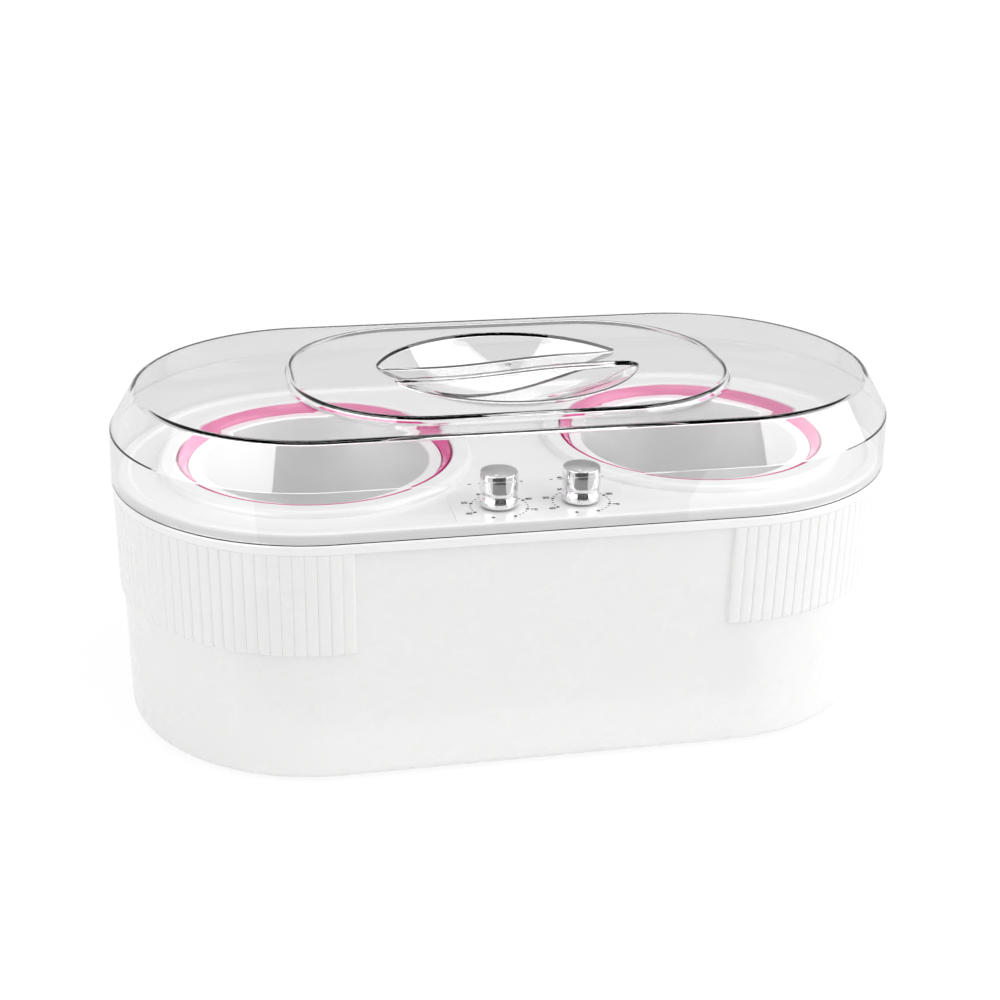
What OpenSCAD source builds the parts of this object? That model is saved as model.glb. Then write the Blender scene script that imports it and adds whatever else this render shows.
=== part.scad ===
// Double wax warmer: two heated wells in an obround casing, two removable pots,
// two thermostat knobs and a clear lift-off lid. Millimetres, +Z up, front at -Y.
// The origin is on the ground, under the middle of the casing.

/* [Casing] */
// Distance from the middle of the casing to each well's axis
half_straight = 91.8; // [90:0.2:100]
// Outside radius of the casing's round ends
body_r = 92.2; // [91.6:0.2:98]
// Wall of the casing and of the top deck
wall = 2.5; // [2.2:0.1:3]
// Height of the casing's floor above the ground
ground_gap = 1.5; // [1:0.1:2.5]
// Height of the casing from its floor to its top edge
casing_h = 111.5; // [109:0.5:125]
// Radius of the casing's lower edge
base_round = 4; // [3:0.5:6]

/* [Ribs] */
// Height of the ribbed band below the casing's top edge
rib_h = 46.5; // [25:0.5:70]
// Straight length of the band beside each round end
rib_lead = 7.3; // [4:0.1:20]
// Number of ribs round each end
rib_count = 58; // [30:1:70]
// How far the ribs stand out of the casing
rib_proud = 1.7; // [1:0.1:1.8]
// How far the grooves between the ribs stand out of the casing
rib_root = 0.4; // [0.3:0.05:0.6]
// Height of the slope under the ribs
rib_slope_h = 4; // [2:0.5:8]

/* [Top deck] */
// Height of the deck's outer rim
rim_h = 4.5; // [4:0.1:6]
// How far the rim stands out of the casing
rim_proud = 1.8; // [1.8:0.1:2.4]
// Height of the raised wall inside the lid
deck_step_h = 4.8; // [4.4:0.1:6]
// How far the raised wall stands in from the casing's outside
deck_step_in = 0.6; // [0.4:0.1:1.2]
// Width of the raised border along the deck's edge
border_w = 5; // [3:0.5:6]
// How far the deck's field lies under the border
field_drop = 1.1; // [0.9:0.1:1.6]
// Depth of the deck's skirt inside the casing
skirt_h = 6; // [4:0.5:10]
// Gap between the deck's skirt and the casing
skirt_gap = 0.4; // [0.3:0.05:0.6]

/* [Control pad] */
// Width of the raised pad under the knobs
pad_w = 79; // [72:0.5:84]
// Distance of the pad's back edge behind the knobs' axes
pad_depth = 23; // [20:0.5:25]
// Height of the raised pad over the deck's field
pad_up = 0.8; // [0.5:0.1:0.8]
// Distance from the middle to each knob's axis
knob_x = 18.5; // [18:0.1:21]
// Distance of the knobs' axes behind the casing's front
knob_edge = 20.2; // [19.2:0.1:21.2]
// Direction of the dial's OFF mark from the knob, in degrees
off_angle = -112.5; // [-120:0.5:-90]
// Distance from the middle to each pilot lamp
lamp_x = 15.7; // [15:0.1:17]
// Distance of the pilot lamps behind the knobs' axes
lamp_depth = 27.7; // [26.7:0.1:30]
// Radius of a pilot lamp's lens
lamp_r = 1.3; // [1:0.1:1.6]

/* [Wells and pots] */
// Inside radius of a wax pot at its rim
pot_r = 53.2; // [50:0.1:53.6]
// Wall of a wax pot
pot_wall = 1; // [0.8:0.1:1.2]
// How much narrower a pot is at its floor
pot_taper = 1.5; // [0.5:0.1:3]
// Height of a wax pot
pot_h = 75; // [60:0.5:78]
// Width of a pot's flat rim
pot_lip_w = 6; // [5.6:0.1:6.2]
// Thickness of a pot's flat rim
pot_lip_t = 1.4; // [1:0.1:1.6]
// Radius of the pot's lower edge inside
pot_round = 5; // [3:0.5:8]
// Gap between a pot and its heated well
pot_gap = 1; // [0.8:0.1:1.2]
// Gap between a pot's rim and what it rests on
seat_gap = 0.1; // [0.05:0.05:0.15]
// Wall of a heated well
well_wall = 1.2; // [1:0.1:1.4]
// Gap between a pot's floor and its well's floor
well_floor_gap = 0.6; // [0.4:0.1:1]
// Thickness of a well's flange
well_flange_t = 1.5; // [1:0.1:2]
// Gap between a pot's rim and the coloured ring
ring_gap = 0.4; // [0.3:0.05:0.6]
// Width of the coloured ring's sloping face
ring_slope_w = 5.3; // [4.6:0.1:5.6]
// Height of the coloured ring's sloping face
ring_slope_h = 3.2; // [2.6:0.1:3.4]
// Width of the coloured ring's hidden foot
ring_foot_w = 3.5; // [2.5:0.1:3.8]
// Height of the coloured ring's hidden foot
ring_foot_h = 1.8; // [1.2:0.1:2]
// Width of the collar round the coloured ring
collar_w = 10.8; // [9:0.1:12]
// Width of the collar's flat crest
collar_flat_w = 5.7; // [4:0.1:7]
// Height of the collar over the deck's field
collar_up = 3.3; // [3:0.1:4]

/* [Heaters and clamps] */
// Thickness of a heater band
heater_t = 2.4; // [1.6:0.1:2.8]
// Height of a heater band
heater_h = 40; // [30:1:50]
// Gap between a heater band and its well
heater_gap = 0.3; // [0.2:0.05:0.4]
// Opening of a heater band, in degrees
heater_open = 16; // [12:1:20]
// Thickness of the clamp ring under a well's flange
clamp_t = 1.5; // [1.2:0.1:2]
// Radius of the bosses that hold the clamp rings
clamp_boss_r = 3.5; // [3:0.1:3.8]
// Radius of a clamp screw's shank
clamp_screw_r = 1.4; // [1.1:0.1:1.5]
// Radius of a cut-out disc under a well
cutout_r = 8; // [7:0.5:10]
// Height of a cut-out disc
cutout_h = 6; // [4:0.5:8]

/* [Knobs and thermostats] */
// Radius of a knob at its top
knob_r = 8.1; // [7.8:0.1:8.6]
// Radius of a knob at its waist
knob_waist_r = 7.45; // [7.3:0.05:7.6]
// Radius of a knob's skirt
knob_skirt_r = 8.85; // [8.65:0.05:9.3]
// Height of a knob's side
knob_h = 14.9; // [13:0.1:17]
// Height of the knob's domed top
knob_dome = 1; // [0.6:0.1:1.6]
// Gap between a knob and the control pad
knob_gap = 0.9; // [0.6:0.1:1.2]
// Radius of the pointer dot
pointer_r = 0.8; // [0.6:0.05:1]
// Radius of the thermostat's shaft
shaft_r = 3; // [2.5:0.1:3.1]
// Running gap round the shaft
shaft_gap = 0.08; // [0.05:0.01:0.1]
// Wall of the thermostat's threaded bush
bush_wall = 1.3; // [1:0.1:1.4]
// Radius of the thermostat's body
thermo_r = 14; // [12:0.5:14.5]
// Height of the thermostat's body
thermo_h = 17; // [14:0.5:20]
// Height of the nut that holds the thermostat
nut_h = 2.2; // [1.8:0.1:2.6]
// Width of the nut across its corners
nut_w = 12.4; // [12:0.1:12.6]

/* [Lid] */
// Thickness of the lid's wall
lid_wall = 2.4; // [2:0.1:2.6]
// Gap between the lid's skirt and the deck's raised wall
lid_gap = 0.5; // [0.4:0.05:0.6]
// Height of the lid's skirt
lid_skirt_h = 23.7; // [22:0.1:30]
// How much narrower the lid's skirt is at its shoulder
lid_lean = 1.1; // [0.5:0.1:1.2]
// Height of the lid's sloping shoulder
lid_slope_h = 18.8; // [17:0.1:24]
// Width of the lid's sloping shoulder
lid_slope_w = 11.4; // [8:0.1:14]
// Half length of the raised panel on the lid
panel_half_l = 102.5; // [95:0.5:115]
// Half width of the raised panel on the lid
panel_half_w = 67.5; // [65:0.5:70]
// Corner radius of the raised panel
panel_round = 60; // [40:1:64]
// Height of the raised panel
panel_up = 3; // [2.7:0.1:5]

/* [Finger grip] */
// Radius of the finger dishes at the raised panel
dish_r = 63; // [60:0.5:64]
// Depth of the finger dishes
dish_depth = 17; // [14:0.5:18]
// How far each dish's middle lies beyond the bar
dish_shift = 12.4; // [11:0.1:14]
// Width of the bar between the dishes
bar_w = 15.4; // [12:0.1:18]
// Turn of the bar seen from above, in degrees
grip_turn = 8; // [0:1:12]
// How far the grip's middle lies in front of the lid's middle
grip_front = 1.5; // [0:0.1:3]

/* [Fasteners and feet] */
// Radius of the casing's screw towers
tower_r = 5; // [4.8:0.1:5.5]
// Distance of an end tower's axis from the casing's inner wall
tower_end_inset = 11.7; // [11.2:0.1:12.2]
// Distance of a side tower's axis from the casing's inner wall
tower_side_inset = 10.5; // [10:0.1:14]
// Height above the ground where a casing screw's head seats
screw_seat_z = 58; // [40:0.5:70]
// Radius of a casing screw's shank
screw_r = 1.9; // [1.5:0.1:2.1]
// Radius of a casing screw's head
screw_head_r = 3.4; // [3:0.1:3.6]
// Length of a casing screw's shank
screw_l = 20; // [14:0.5:26]
// Radius of a rubber foot
foot_r = 8; // [6:0.5:10]
// Distance of a foot's middle from the casing's side
foot_edge = 33.4; // [20:0.2:40]
// Direction of a foot from its well's axis, in degrees
foot_angle = 55; // [50:1:65]
// How deep a foot sits in the casing
foot_inset = 1.3; // [1:0.1:1.5]

/* [Power inlet] */
// Width of the inlet's face
inlet_w = 30; // [29:0.5:34]
// Height of the inlet's face
inlet_h = 19; // [18:0.5:22]
// Thickness of the inlet's face plate
inlet_face_t = 1.4; // [1:0.1:1.7]
// Radius of each of the socket's two lobes
socket_r = 5.8; // [5.6:0.1:6.2]
// Depth of the socket
socket_d = 14; // [11:0.5:17]
// Height of the inlet's middle above the ground
inlet_z = 26; // [22:0.5:34]
// Distance from the middle of the socket to each pin
pin_x = 4.3; // [4:0.1:4.6]
// Radius of a pin
pin_r = 1.15; // [1:0.05:1.3]

/* [Wiring] */
// Radius of an inner lead
lead_r = 1.2; // [0.9:0.1:1.3]
// Length of the terminal block
block_l = 34; // [33:1:44]
// Width of the terminal block
block_w = 18; // [16:1:22]
// Height of the terminal block
block_h = 14; // [12:0.5:18]
// Distance of the terminal block's middle in front of the casing's back
block_edge = 62.2; // [58.2:0.5:64.2]
// Height of the lower leads over the casing's floor
low_run = 12; // [11:0.5:14]
// Height of the upper leads over the casing's floor
mid_run = 18; // [17:0.5:22]
// How far a lead runs back from a thermostat before it turns outwards
lead_step = 12; // [10:0.5:16]

/* [Hidden] */

$fn = 96;
left = -1;
right = 1;
cut = 1;                      // how far a cutting solid runs past the face that it cuts
bury = 0.5;                   // how far a boss runs into the wall that carries it
fit = 0.05;                   // gap round a thread, a pin or a pressed-in piece
room = 0.3;                   // gap round a screw's head or shank where it passes freely

// Heights of the casing and of the deck
floor_z = ground_gap;
floor_top = floor_z + wall;
casing_top = floor_z + casing_h;
rim_top = casing_top + rim_h;
border_top = rim_top + deck_step_h;
field_z = border_top - field_drop;
deck_under = field_z - wall;
pad_z = field_z + pad_up;

// Radii of the casing and of the deck
body_in = body_r - wall;
rim_r = body_r + rim_proud;
step_r = body_r - deck_step_in;
border_in = step_r - border_w;
skirt_out = body_in - skirt_gap;
skirt_in = skirt_out - wall * 0.8;
rim_soft = 0.8;
step_soft = 1.8;
border_slope = 1.5;

// A well and what it holds, as radii round its axis and heights above the ground
pot_out = pot_r + pot_wall;
pot_lip_r = pot_r + pot_lip_w;
ring_in = pot_lip_r + ring_gap;
ring_r = ring_in + ring_slope_w;
ring_foot_r = ring_r + ring_foot_w;
ring_room_r = ring_foot_r + ring_gap;
deck_bore = ring_r + ring_gap;
collar_r = deck_bore + collar_w;
collar_flat_r = deck_bore + collar_flat_w;
collar_top = field_z + collar_up;
collar_soft = 0.8;
flange_top = deck_under - 2 * seat_gap;
flange_under = flange_top - well_flange_t;
flange_r = ring_room_r + 0.1;
ring_foot_top = flange_top + ring_foot_h;
pot_lip_under = flange_top + seat_gap;
pot_lip_top = pot_lip_under + pot_lip_t;
ring_low = pot_lip_top + seat_gap;
ring_top = ring_low + ring_slope_h;
well_in = pot_out + pot_gap;
well_out = well_in + well_wall;
pot_floor = pot_lip_top - pot_h;
well_floor = pot_floor - well_floor_gap;
well_under = well_floor - well_wall;
heater_in = well_out + heater_gap;
heater_r = heater_in + heater_t;
heater_z = (well_floor + flange_under - heater_h) / 2;
clamp_in = heater_r + room;
clamp_r = flange_r + 0.8;
clamp_under = flange_under - clamp_t;
clamp_boss_at = flange_r + clamp_boss_r + 0.5;
clamp_screw_top = flange_under + 3;
clamp_ear_r = clamp_boss_r + 1;
clamp_angles = [60, 180, 300];

// The heater band's ears and tabs
ear_l = 7;
ear_t = 2;
ear_h = 12;
ear_z = heater_z + heater_h / 2;
ear_at = heater_r + ear_l / 2;
ear_y = heater_in * sin(heater_open / 2) + ear_t;
tab_l = 5;
tab_w = 4.8;
tab_t = 0.8;
heater_tab_angle = 22;

// The control pad and its lamps, as distances in front of the middle
knob_front = body_r - knob_edge;
pad_back = knob_front - pad_depth;
lamp_front = knob_front - lamp_depth;

// A knob and its thermostat, from the control pad down
knob_base = pad_z + knob_gap;
knob_top = knob_base + knob_h;
knob_skirt_h = 1.2;
knob_waist_h = 4.5;
knob_soft = 0.5;
bush_r = shaft_r + shaft_gap + bush_wall;
bush_top = pad_z + nut_h + 0.6;
nut_room_r = nut_w / 2 + room;
nut_room_top = bush_top + 0.6;
thermo_top = deck_under - seat_gap;
thermo_under = thermo_top - thermo_h;
thermo_floor = 3;
shaft_low = thermo_under + thermo_floor + room;
shaft_top = knob_top - 4;
shaft_flat = shaft_r * 0.6;
pointer_at = knob_r - 1.9;
pointer_low = knob_top - 0.6;
dome_rim = knob_r - knob_soft;
dome_ball = (dome_rim * dome_rim + knob_dome * knob_dome) / (2 * knob_dome);
pointer_top = knob_top + knob_dome - dome_ball + sqrt(pow(dome_ball, 2) - pow(pointer_at, 2)) + 0.1;
thermo_tab_x = 5;
thermo_tab_z = thermo_under - tab_l;

// The pilot lamps
lamp_under = deck_under - 6;
lamp_body_r = 3.2;
lamp_leg = 1.8;

// The lid, from its lower edge up
lid_base = rim_top + seat_gap;
lid_in = step_r + lid_gap;
lid_r = lid_in + lid_wall;
shoulder_r = lid_r - lid_lean;
shoulder_z = lid_base + lid_skirt_h;
lid_top = shoulder_z + lid_slope_h;
top_r = shoulder_r - lid_slope_w;
panel_top = lid_top + panel_up;
slope_angle = atan(lid_slope_w / lid_slope_h);
dish_ball = (dish_r * dish_r + dish_depth * dish_depth) / (2 * dish_depth);
dish_ball_z = panel_top - dish_depth + dish_ball;

// Places of the screws and of the feet
tower_x = half_straight + body_in - tower_end_inset;
tower_y = body_in - tower_side_inset;
tower_spots = concat([[tower_x, 0], [-tower_x, 0]],
                     [for (x = [-1, 1]) for (y = [-1, 1]) [x * half_straight / 2, y * tower_y]]);
tower_top = screw_seat_z + 6;
screw_end = screw_seat_z + screw_l;
head_t = 2.2;
foot_at = body_r - foot_edge;
foot_spots = [for (x = [-1, 1]) for (y = [-1, 1])
                  [x * (half_straight + foot_at * cos(foot_angle)), y * foot_at * sin(foot_angle)]];
vent_w = 3;
vent_l = 44;
vent_pitch = 8;

// The power inlet and the terminal block
inlet_wall = 1.6;
inlet_shell_w = 2 * (pin_x + socket_r + inlet_wall);
inlet_shell_h = 2 * (socket_r + inlet_wall);
inlet_face = body_r + inlet_face_t;
socket_end = inlet_face - socket_d;
inlet_end = socket_end - inlet_wall;
pin_end = inlet_end - tab_l;
block_foot = 3;
block_back = body_r - block_edge;
block_z = floor_top + block_foot;
block_top = block_z + block_h;
bore_z = block_z + 5;
bore_r = lead_r + 0.2;
bore_d = 7;
terminal_r = lead_r + 0.5;
thermo_pole = knob_x - thermo_tab_x;
heater_pole = thermo_pole - 5;
poles = [pin_x, heater_pole, thermo_pole];

function reversed(list) = [for (i = [len(list) - 1:-1:0]) list[i]];
function mirrored(list) = [for (p = reversed(list)) [-p[0], p[1]]];
function arc(cx, cz, r, from, to, steps) =
    [for (i = [0:steps]) let (a = from + (to - from) * i / steps) [cx + r * cos(a), cz + r * sin(a)]];
function rounded_plan(l, w, r) =
    concat(arc(l - r, w - r, r, 0, 90, 12), arc(r - l, w - r, r, 90, 180, 12),
           arc(r - l, r - w, r, 180, 270, 12), arc(l - r, r - w, r, 270, 360, 12));

// A section of [radius, height] points, from the lowest to the highest, turned round
// both ends and carried along the straights. It is closed along the middle.
module obround(section) {
    low = section[0][1];
    high = section[len(section) - 1][1];
    for (side = [0, 1])
        mirror([side, 0, 0])
            translate([half_straight, 0, 0])
                rotate([0, 0, -90])
                    rotate_extrude(angle = 180)
                        polygon(concat([[0, low]], section, [[0, high]]));
    rotate([90, 0, 90])
        linear_extrude(height = 2 * half_straight, center = true)
            polygon(concat(section, mirrored(section)));
}

module from_to(r, low, high) {
    translate([0, 0, low]) cylinder(r = r, h = high - low);
}

// Right-hand geometry, mirrored for the left-hand side
module on_side(side) {
    mirror([side == left ? 1 : 0, 0, 0]) children();
}

module at_well(side) {
    on_side(side) translate([half_straight, 0, 0]) children();
}

module at_knob(side) {
    translate([side * knob_x, -knob_front, 0]) children();
}

module at_spots(spots) {
    for (spot = spots)
        translate([spot[0], spot[1], 0]) children();
}

module at_clamps() {
    for (a = clamp_angles)
        rotate([0, 0, a]) translate([clamp_boss_at, 0, 0]) children();
}

// A cross-slotted screw with its head down: seat is the height of the head's inner face
module screw_up(r, head_r, seat, end) {
    difference() {
        union() {
            from_to(head_r, seat - head_t, seat);
            from_to(r, seat - bury, end);
        }
        for (turn = [0, 90])
            rotate([0, 0, turn])
                translate([0, 0, seat - head_t])
                    cube([head_r * 1.2, head_r * 0.3, head_t], center = true);
    }
}

// A lead through points, with a slightly larger ball at each bend
module lead(points) {
    for (i = [0:len(points) - 2]) {
        a = points[i];
        run = points[i + 1] - a;
        translate(a)
            rotate([0, acos(run[2] / norm(run)), atan2(run[1], run[0])])
                cylinder(r = lead_r, h = norm(run), $fn = 24);
    }
    for (i = [1:1:len(points) - 2])
        translate(points[i]) sphere(r = lead_r * 1.08, $fn = 24);
}

// The ribbed bands

rib_arc = PI * body_r;
rib_run = 2 * rib_lead + rib_arc;
rib_shape = [[0, 0], [0.2, 0.75], [0.5, 1], [0.8, 0.75]];
rib_low = casing_top - rib_h;

// The point at a distance along the band, standing out of the casing
function rib_point(along, out) =
    along < rib_lead ? [half_straight - rib_lead + along, -body_r - out]
    : along > rib_lead + rib_arc ? [half_straight - along + rib_lead + rib_arc, body_r + out]
    : let (a = (along - rib_lead) / rib_arc * 180 - 90)
        [half_straight + (body_r + out) * cos(a), (body_r + out) * sin(a)];

function rib_outline() = concat(
    [for (i = [0:rib_count - 1]) for (p = rib_shape)
        rib_point((i + p[0]) * rib_run / rib_count, rib_root + p[1] * (rib_proud - rib_root))],
    [for (i = [24:-1:0]) rib_point(i * rib_run / 24, i == 24 ? rib_root : -wall / 2)],
    [rib_point(0, rib_root / 2)]);

module rib_band() {
    intersection() {
        translate([0, 0, rib_low])
            linear_extrude(height = rib_h)
                polygon(rib_outline());
        obround([[body_r + rib_root / 2, rib_low - cut], [body_r + rib_root / 2, rib_low],
                 [rim_r + cut, rib_low + rib_slope_h * 2], [rim_r + cut, casing_top + cut]]);
    }
}

// Casing

module casing_shell() {
    inner_round = base_round - wall / 2;
    difference() {
        obround(concat(arc(body_r - base_round, floor_z + base_round, base_round, -90, 0, 5),
                       [[body_r, casing_top]]));
        obround(concat(arc(body_in - inner_round, floor_top + inner_round, inner_round, -90, 0, 4),
                       [[body_in, casing_top + cut]]));
    }
}

module outer_casing() {
    color("ivory")
    difference() {
        union() {
            casing_shell();
            for (side = [left, right]) on_side(side) rib_band();
            at_spots(tower_spots) from_to(tower_r, floor_top - bury, tower_top);
            translate([-block_l / 2, block_back - block_w / 2, floor_top - bury])
                cube([block_l, block_w, block_foot + bury]);
        }
        at_spots(tower_spots) {
            from_to(screw_head_r + room, floor_z - cut, screw_seat_z);
            from_to(screw_r + room, screw_seat_z - cut, tower_top + cut);
        }
        at_spots(foot_spots) from_to(foot_r + room, floor_z - cut, floor_z + foot_inset);
        for (side = [left, right]) at_well(side) vents();
        inlet_window();
    }
}

module vents() {
    for (i = [-3:3])
        translate([i * vent_pitch - vent_w / 2, -vent_l / 2, floor_z - cut])
            cube([vent_w, vent_l, wall + 2 * cut]);
}

module inlet_window() {
    w = inlet_shell_w + room;
    h = inlet_shell_h + room;
    translate([-w / 2, body_in - cut, inlet_z - h / 2]) cube([w, wall + 2 * cut, h]);
}

// Deck

module deck_shell() {
    difference() {
        obround(concat(
            [[skirt_out, casing_top - skirt_h], [skirt_out, casing_top],
             [rim_r - room, casing_top], [rim_r, casing_top + room]],
            arc(rim_r - rim_soft, rim_top - rim_soft, rim_soft, 0, 90, 3),
            [[step_r, rim_top]],
            arc(step_r - step_soft, border_top - step_soft, step_soft, 0, 90, 4),
            [[border_in, border_top], [border_in - border_slope, field_z]]));
        obround([[skirt_in, casing_top - skirt_h - cut], [skirt_in, deck_under]]);
    }
}

module collar() {
    low = deck_under + bury;
    run = collar_r - collar_flat_r;
    rotate_extrude()
        polygon(concat([[deck_bore - cut, low], [collar_r, low]],
            [for (t = [90:-15:0]) [collar_flat_r + run * sin(t), field_z + collar_up * cos(t)]],
            [[deck_bore - cut, collar_top]]));
}

module well_opening() {
    lip = ring_foot_top + seat_gap;
    rotate_extrude()
        polygon(concat([[0, deck_under - cut], [ring_room_r, deck_under - cut],
                        [ring_room_r, lip], [deck_bore, lip]],
            arc(deck_bore + collar_soft, collar_top - collar_soft, collar_soft, 180, 90, 3),
            [[deck_bore + collar_soft, collar_top + cut], [0, collar_top + cut]]));
}

module control_pad() {
    slant = 9;
    translate([0, 0, deck_under + bury])
        linear_extrude(height = pad_z - deck_under - bury)
            polygon([[-pad_w / 2, -border_in - border_slope], [pad_w / 2, -border_in - border_slope],
                     [pad_w / 2, -pad_back - slant], [pad_w / 2 - slant, -pad_back],
                     [slant - pad_w / 2, -pad_back], [-pad_w / 2, -pad_back - slant]]);
}

module top_deck() {
    color("ivory")
    difference() {
        union() {
            deck_shell();
            control_pad();
            for (side = [left, right]) at_well(side) {
                collar();
                at_clamps() from_to(clamp_boss_r, flange_under, deck_under + bury);
            }
            at_spots(tower_spots) from_to(tower_r, tower_top, deck_under + bury);
        }
        for (side = [left, right]) {
            at_well(side) {
                well_opening();
                at_clamps() from_to(clamp_screw_r + fit, flange_under - cut, clamp_screw_top + room);
            }
            at_knob(side) from_to(bush_r + 2 * fit, deck_under - cut, pad_z + cut);
            translate([side * lamp_x, -lamp_front, 0])
                from_to(lamp_r + 2 * fit, deck_under - cut, field_z + cut);
        }
        at_spots(tower_spots) from_to(screw_r + fit, tower_top - cut, screw_end + 2);
    }
}

// Wells and pots

module well_ring(side) {
    color("hotpink")
    at_well(side)
        rotate_extrude()
            polygon([[ring_in, flange_top], [ring_foot_r, flange_top], [ring_foot_r, ring_foot_top],
                     [ring_r, ring_foot_top], [ring_r, ring_top - room], [ring_r - room, ring_top],
                     [ring_in, ring_low]]);
}

module heating_well(side) {
    color("silver")
    at_well(side)
        rotate_extrude()
            polygon([[0, well_under], [well_out, well_under], [well_out, flange_under],
                     [flange_r, flange_under], [flange_r, flange_top], [well_in, flange_top],
                     [well_in, well_floor], [0, well_floor]]);
}

module wax_pot(side) {
    floor_r = pot_r - pot_taper;
    color("gainsboro")
    at_well(side)
        rotate_extrude()
            polygon(concat([[0, pot_floor]],
                arc(floor_r - pot_round, pot_floor + pot_wall + pot_round, pot_round + pot_wall, -90, 0, 5),
                [[pot_out, pot_lip_under], [pot_lip_r, pot_lip_under], [pot_lip_r, pot_lip_top - room],
                 [pot_lip_r - room, pot_lip_top], [pot_r + room, pot_lip_top],
                 [pot_r, pot_lip_top - room]],
                arc(floor_r - pot_round, pot_floor + pot_wall + pot_round, pot_round, 0, -90, 5),
                [[0, pot_floor + pot_wall]]));
}

// Heaters and clamps

module heater_band(side) {
    color("darkgoldenrod")
    at_well(side)
        difference() {
            union() {
                rotate([0, 0, 180 + heater_open / 2])
                    rotate_extrude(angle = 360 - heater_open)
                        polygon([[heater_in, heater_z], [heater_r, heater_z],
                                 [heater_r, heater_z + heater_h], [heater_in, heater_z + heater_h]]);
                for (y = [-1, 1]) {
                    translate([-heater_r - ear_l, y * ear_y - ear_t / 2, ear_z - ear_h / 2])
                        cube([ear_l + heater_t, ear_t, ear_h]);
                    rotate([0, 0, 180 - y * heater_tab_angle])
                        translate([heater_r - tab_t / 2, -tab_w / 2, heater_z - tab_l])
                            cube([tab_t, tab_w, 2 * tab_l]);
                }
            }
            translate([-ear_at, 0, ear_z])
                rotate([90, 0, 0])
                    cylinder(r = clamp_screw_r + room, h = 4 * ear_y, center = true);
        }
}

module heater_band_screws() {
    reach = ear_y + ear_t / 2;
    nut_t = 2;
    color("dimgray")
    for (side = [left, right])
        at_well(side)
            translate([-ear_at, 0, ear_z])
                rotate([90, 0, 0]) {
                    screw_up(clamp_screw_r, 2 * clamp_screw_r, -reach, reach + nut_t + 1);
                    difference() {
                        translate([0, 0, reach]) cylinder(r = 2.2 * clamp_screw_r, h = nut_t, $fn = 6);
                        from_to(clamp_screw_r + fit, reach - cut, reach + nut_t + cut);
                    }
                }
}

module well_clamp(side) {
    color("lightgray")
    at_well(side)
        difference() {
            union() {
                from_to(clamp_r, clamp_under, flange_under);
                at_clamps() from_to(clamp_ear_r, clamp_under, flange_under);
            }
            from_to(clamp_in, clamp_under - cut, flange_under + cut);
            at_clamps() from_to(clamp_screw_r + room, clamp_under - cut, flange_under + cut);
        }
}

module clamp_screws() {
    color("dimgray")
    for (side = [left, right])
        at_well(side)
            at_clamps() screw_up(clamp_screw_r, 2 * clamp_screw_r, clamp_under, clamp_screw_top);
}

module thermal_cutout(side) {
    color("black")
    at_well(side) {
        from_to(cutout_r, well_under - cutout_h, well_under);
        for (x = [-1, 1])
            translate([x * thermo_tab_x - tab_w / 2, -tab_t / 2, well_under - cutout_h - tab_l])
                cube([tab_w, tab_t, tab_l + bury]);
    }
}

// Knobs and thermostats

// The shaft's D section, from one height to another
module d_shape(r, flat, low, high) {
    difference() {
        from_to(r, low, high);
        translate([flat, -r - cut, low - cut]) cube([r, 2 * (r + cut), high - low + 2 * cut]);
    }
}

module thermostat(side) {
    color("dimgray")
    at_knob(side) {
        difference() {
            union() {
                from_to(thermo_r, thermo_under, thermo_top);
                from_to(bush_r, thermo_top - bury, bush_top);
            }
            from_to(shaft_r + shaft_gap, thermo_under + thermo_floor, bush_top + cut);
        }
        for (x = [-1, 1])
            translate([x * thermo_tab_x - tab_w / 2, -tab_t / 2, thermo_tab_z])
                cube([tab_w, tab_t, tab_l + bury]);
    }
}

module thermostat_shaft(side) {
    color("silver")
    at_knob(side) {
        from_to(shaft_r, shaft_low, bush_top + 1);
        d_shape(shaft_r, shaft_flat, bush_top, shaft_top);
    }
}

module thermostat_nut(side) {
    color("lightgray")
    at_knob(side)
        difference() {
            translate([0, 0, pad_z]) cylinder(r = nut_w / 2, h = nut_h, $fn = 6);
            from_to(bush_r + fit, pad_z - cut, pad_z + nut_h + cut);
        }
}

module knob(side) {
    waist_run = knob_waist_h - knob_skirt_h;
    flare = knob_skirt_r - knob_waist_r;
    color("silver")
    at_knob(side)
        difference() {
            rotate_extrude()
                polygon(concat(
                    [[0, knob_base], [knob_skirt_r - room, knob_base], [knob_skirt_r, knob_base + room]],
                    [for (t = [0:15:90]) [knob_skirt_r - flare * sin(t),
                                          knob_base + knob_waist_h - waist_run * cos(t)]],
                    [[knob_r, knob_top - knob_soft], [dome_rim, knob_top]],
                    [for (t = [0.8:-0.2:0]) [dome_rim * t, knob_top + knob_dome - dome_ball
                                             + sqrt(pow(dome_ball, 2) - pow(dome_rim * t, 2))]]));
            from_to(nut_room_r, knob_base - cut, nut_room_top);
            from_to(shaft_r + fit, knob_base - cut, bush_top + 1 + room);
            d_shape(shaft_r + fit, shaft_flat + fit, nut_room_top - cut, shaft_top + fit);
            pointer_place() from_to(pointer_r + fit, pointer_low, knob_top + 2 * knob_dome);
        }
}

module pointer_place() {
    rotate([0, 0, off_angle]) translate([pointer_at, 0, 0]) children();
}

module pointer_dot(side) {
    color("black")
    at_knob(side) pointer_place() from_to(pointer_r, pointer_low, pointer_top);
}

module pilot_lamp(side) {
    color("orangered")
    translate([side * lamp_x, -lamp_front, 0]) {
        from_to(lamp_body_r, lamp_under, deck_under);
        from_to(lamp_r, deck_under - bury, field_z + room);
    }
}

// Power inlet and wiring

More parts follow.
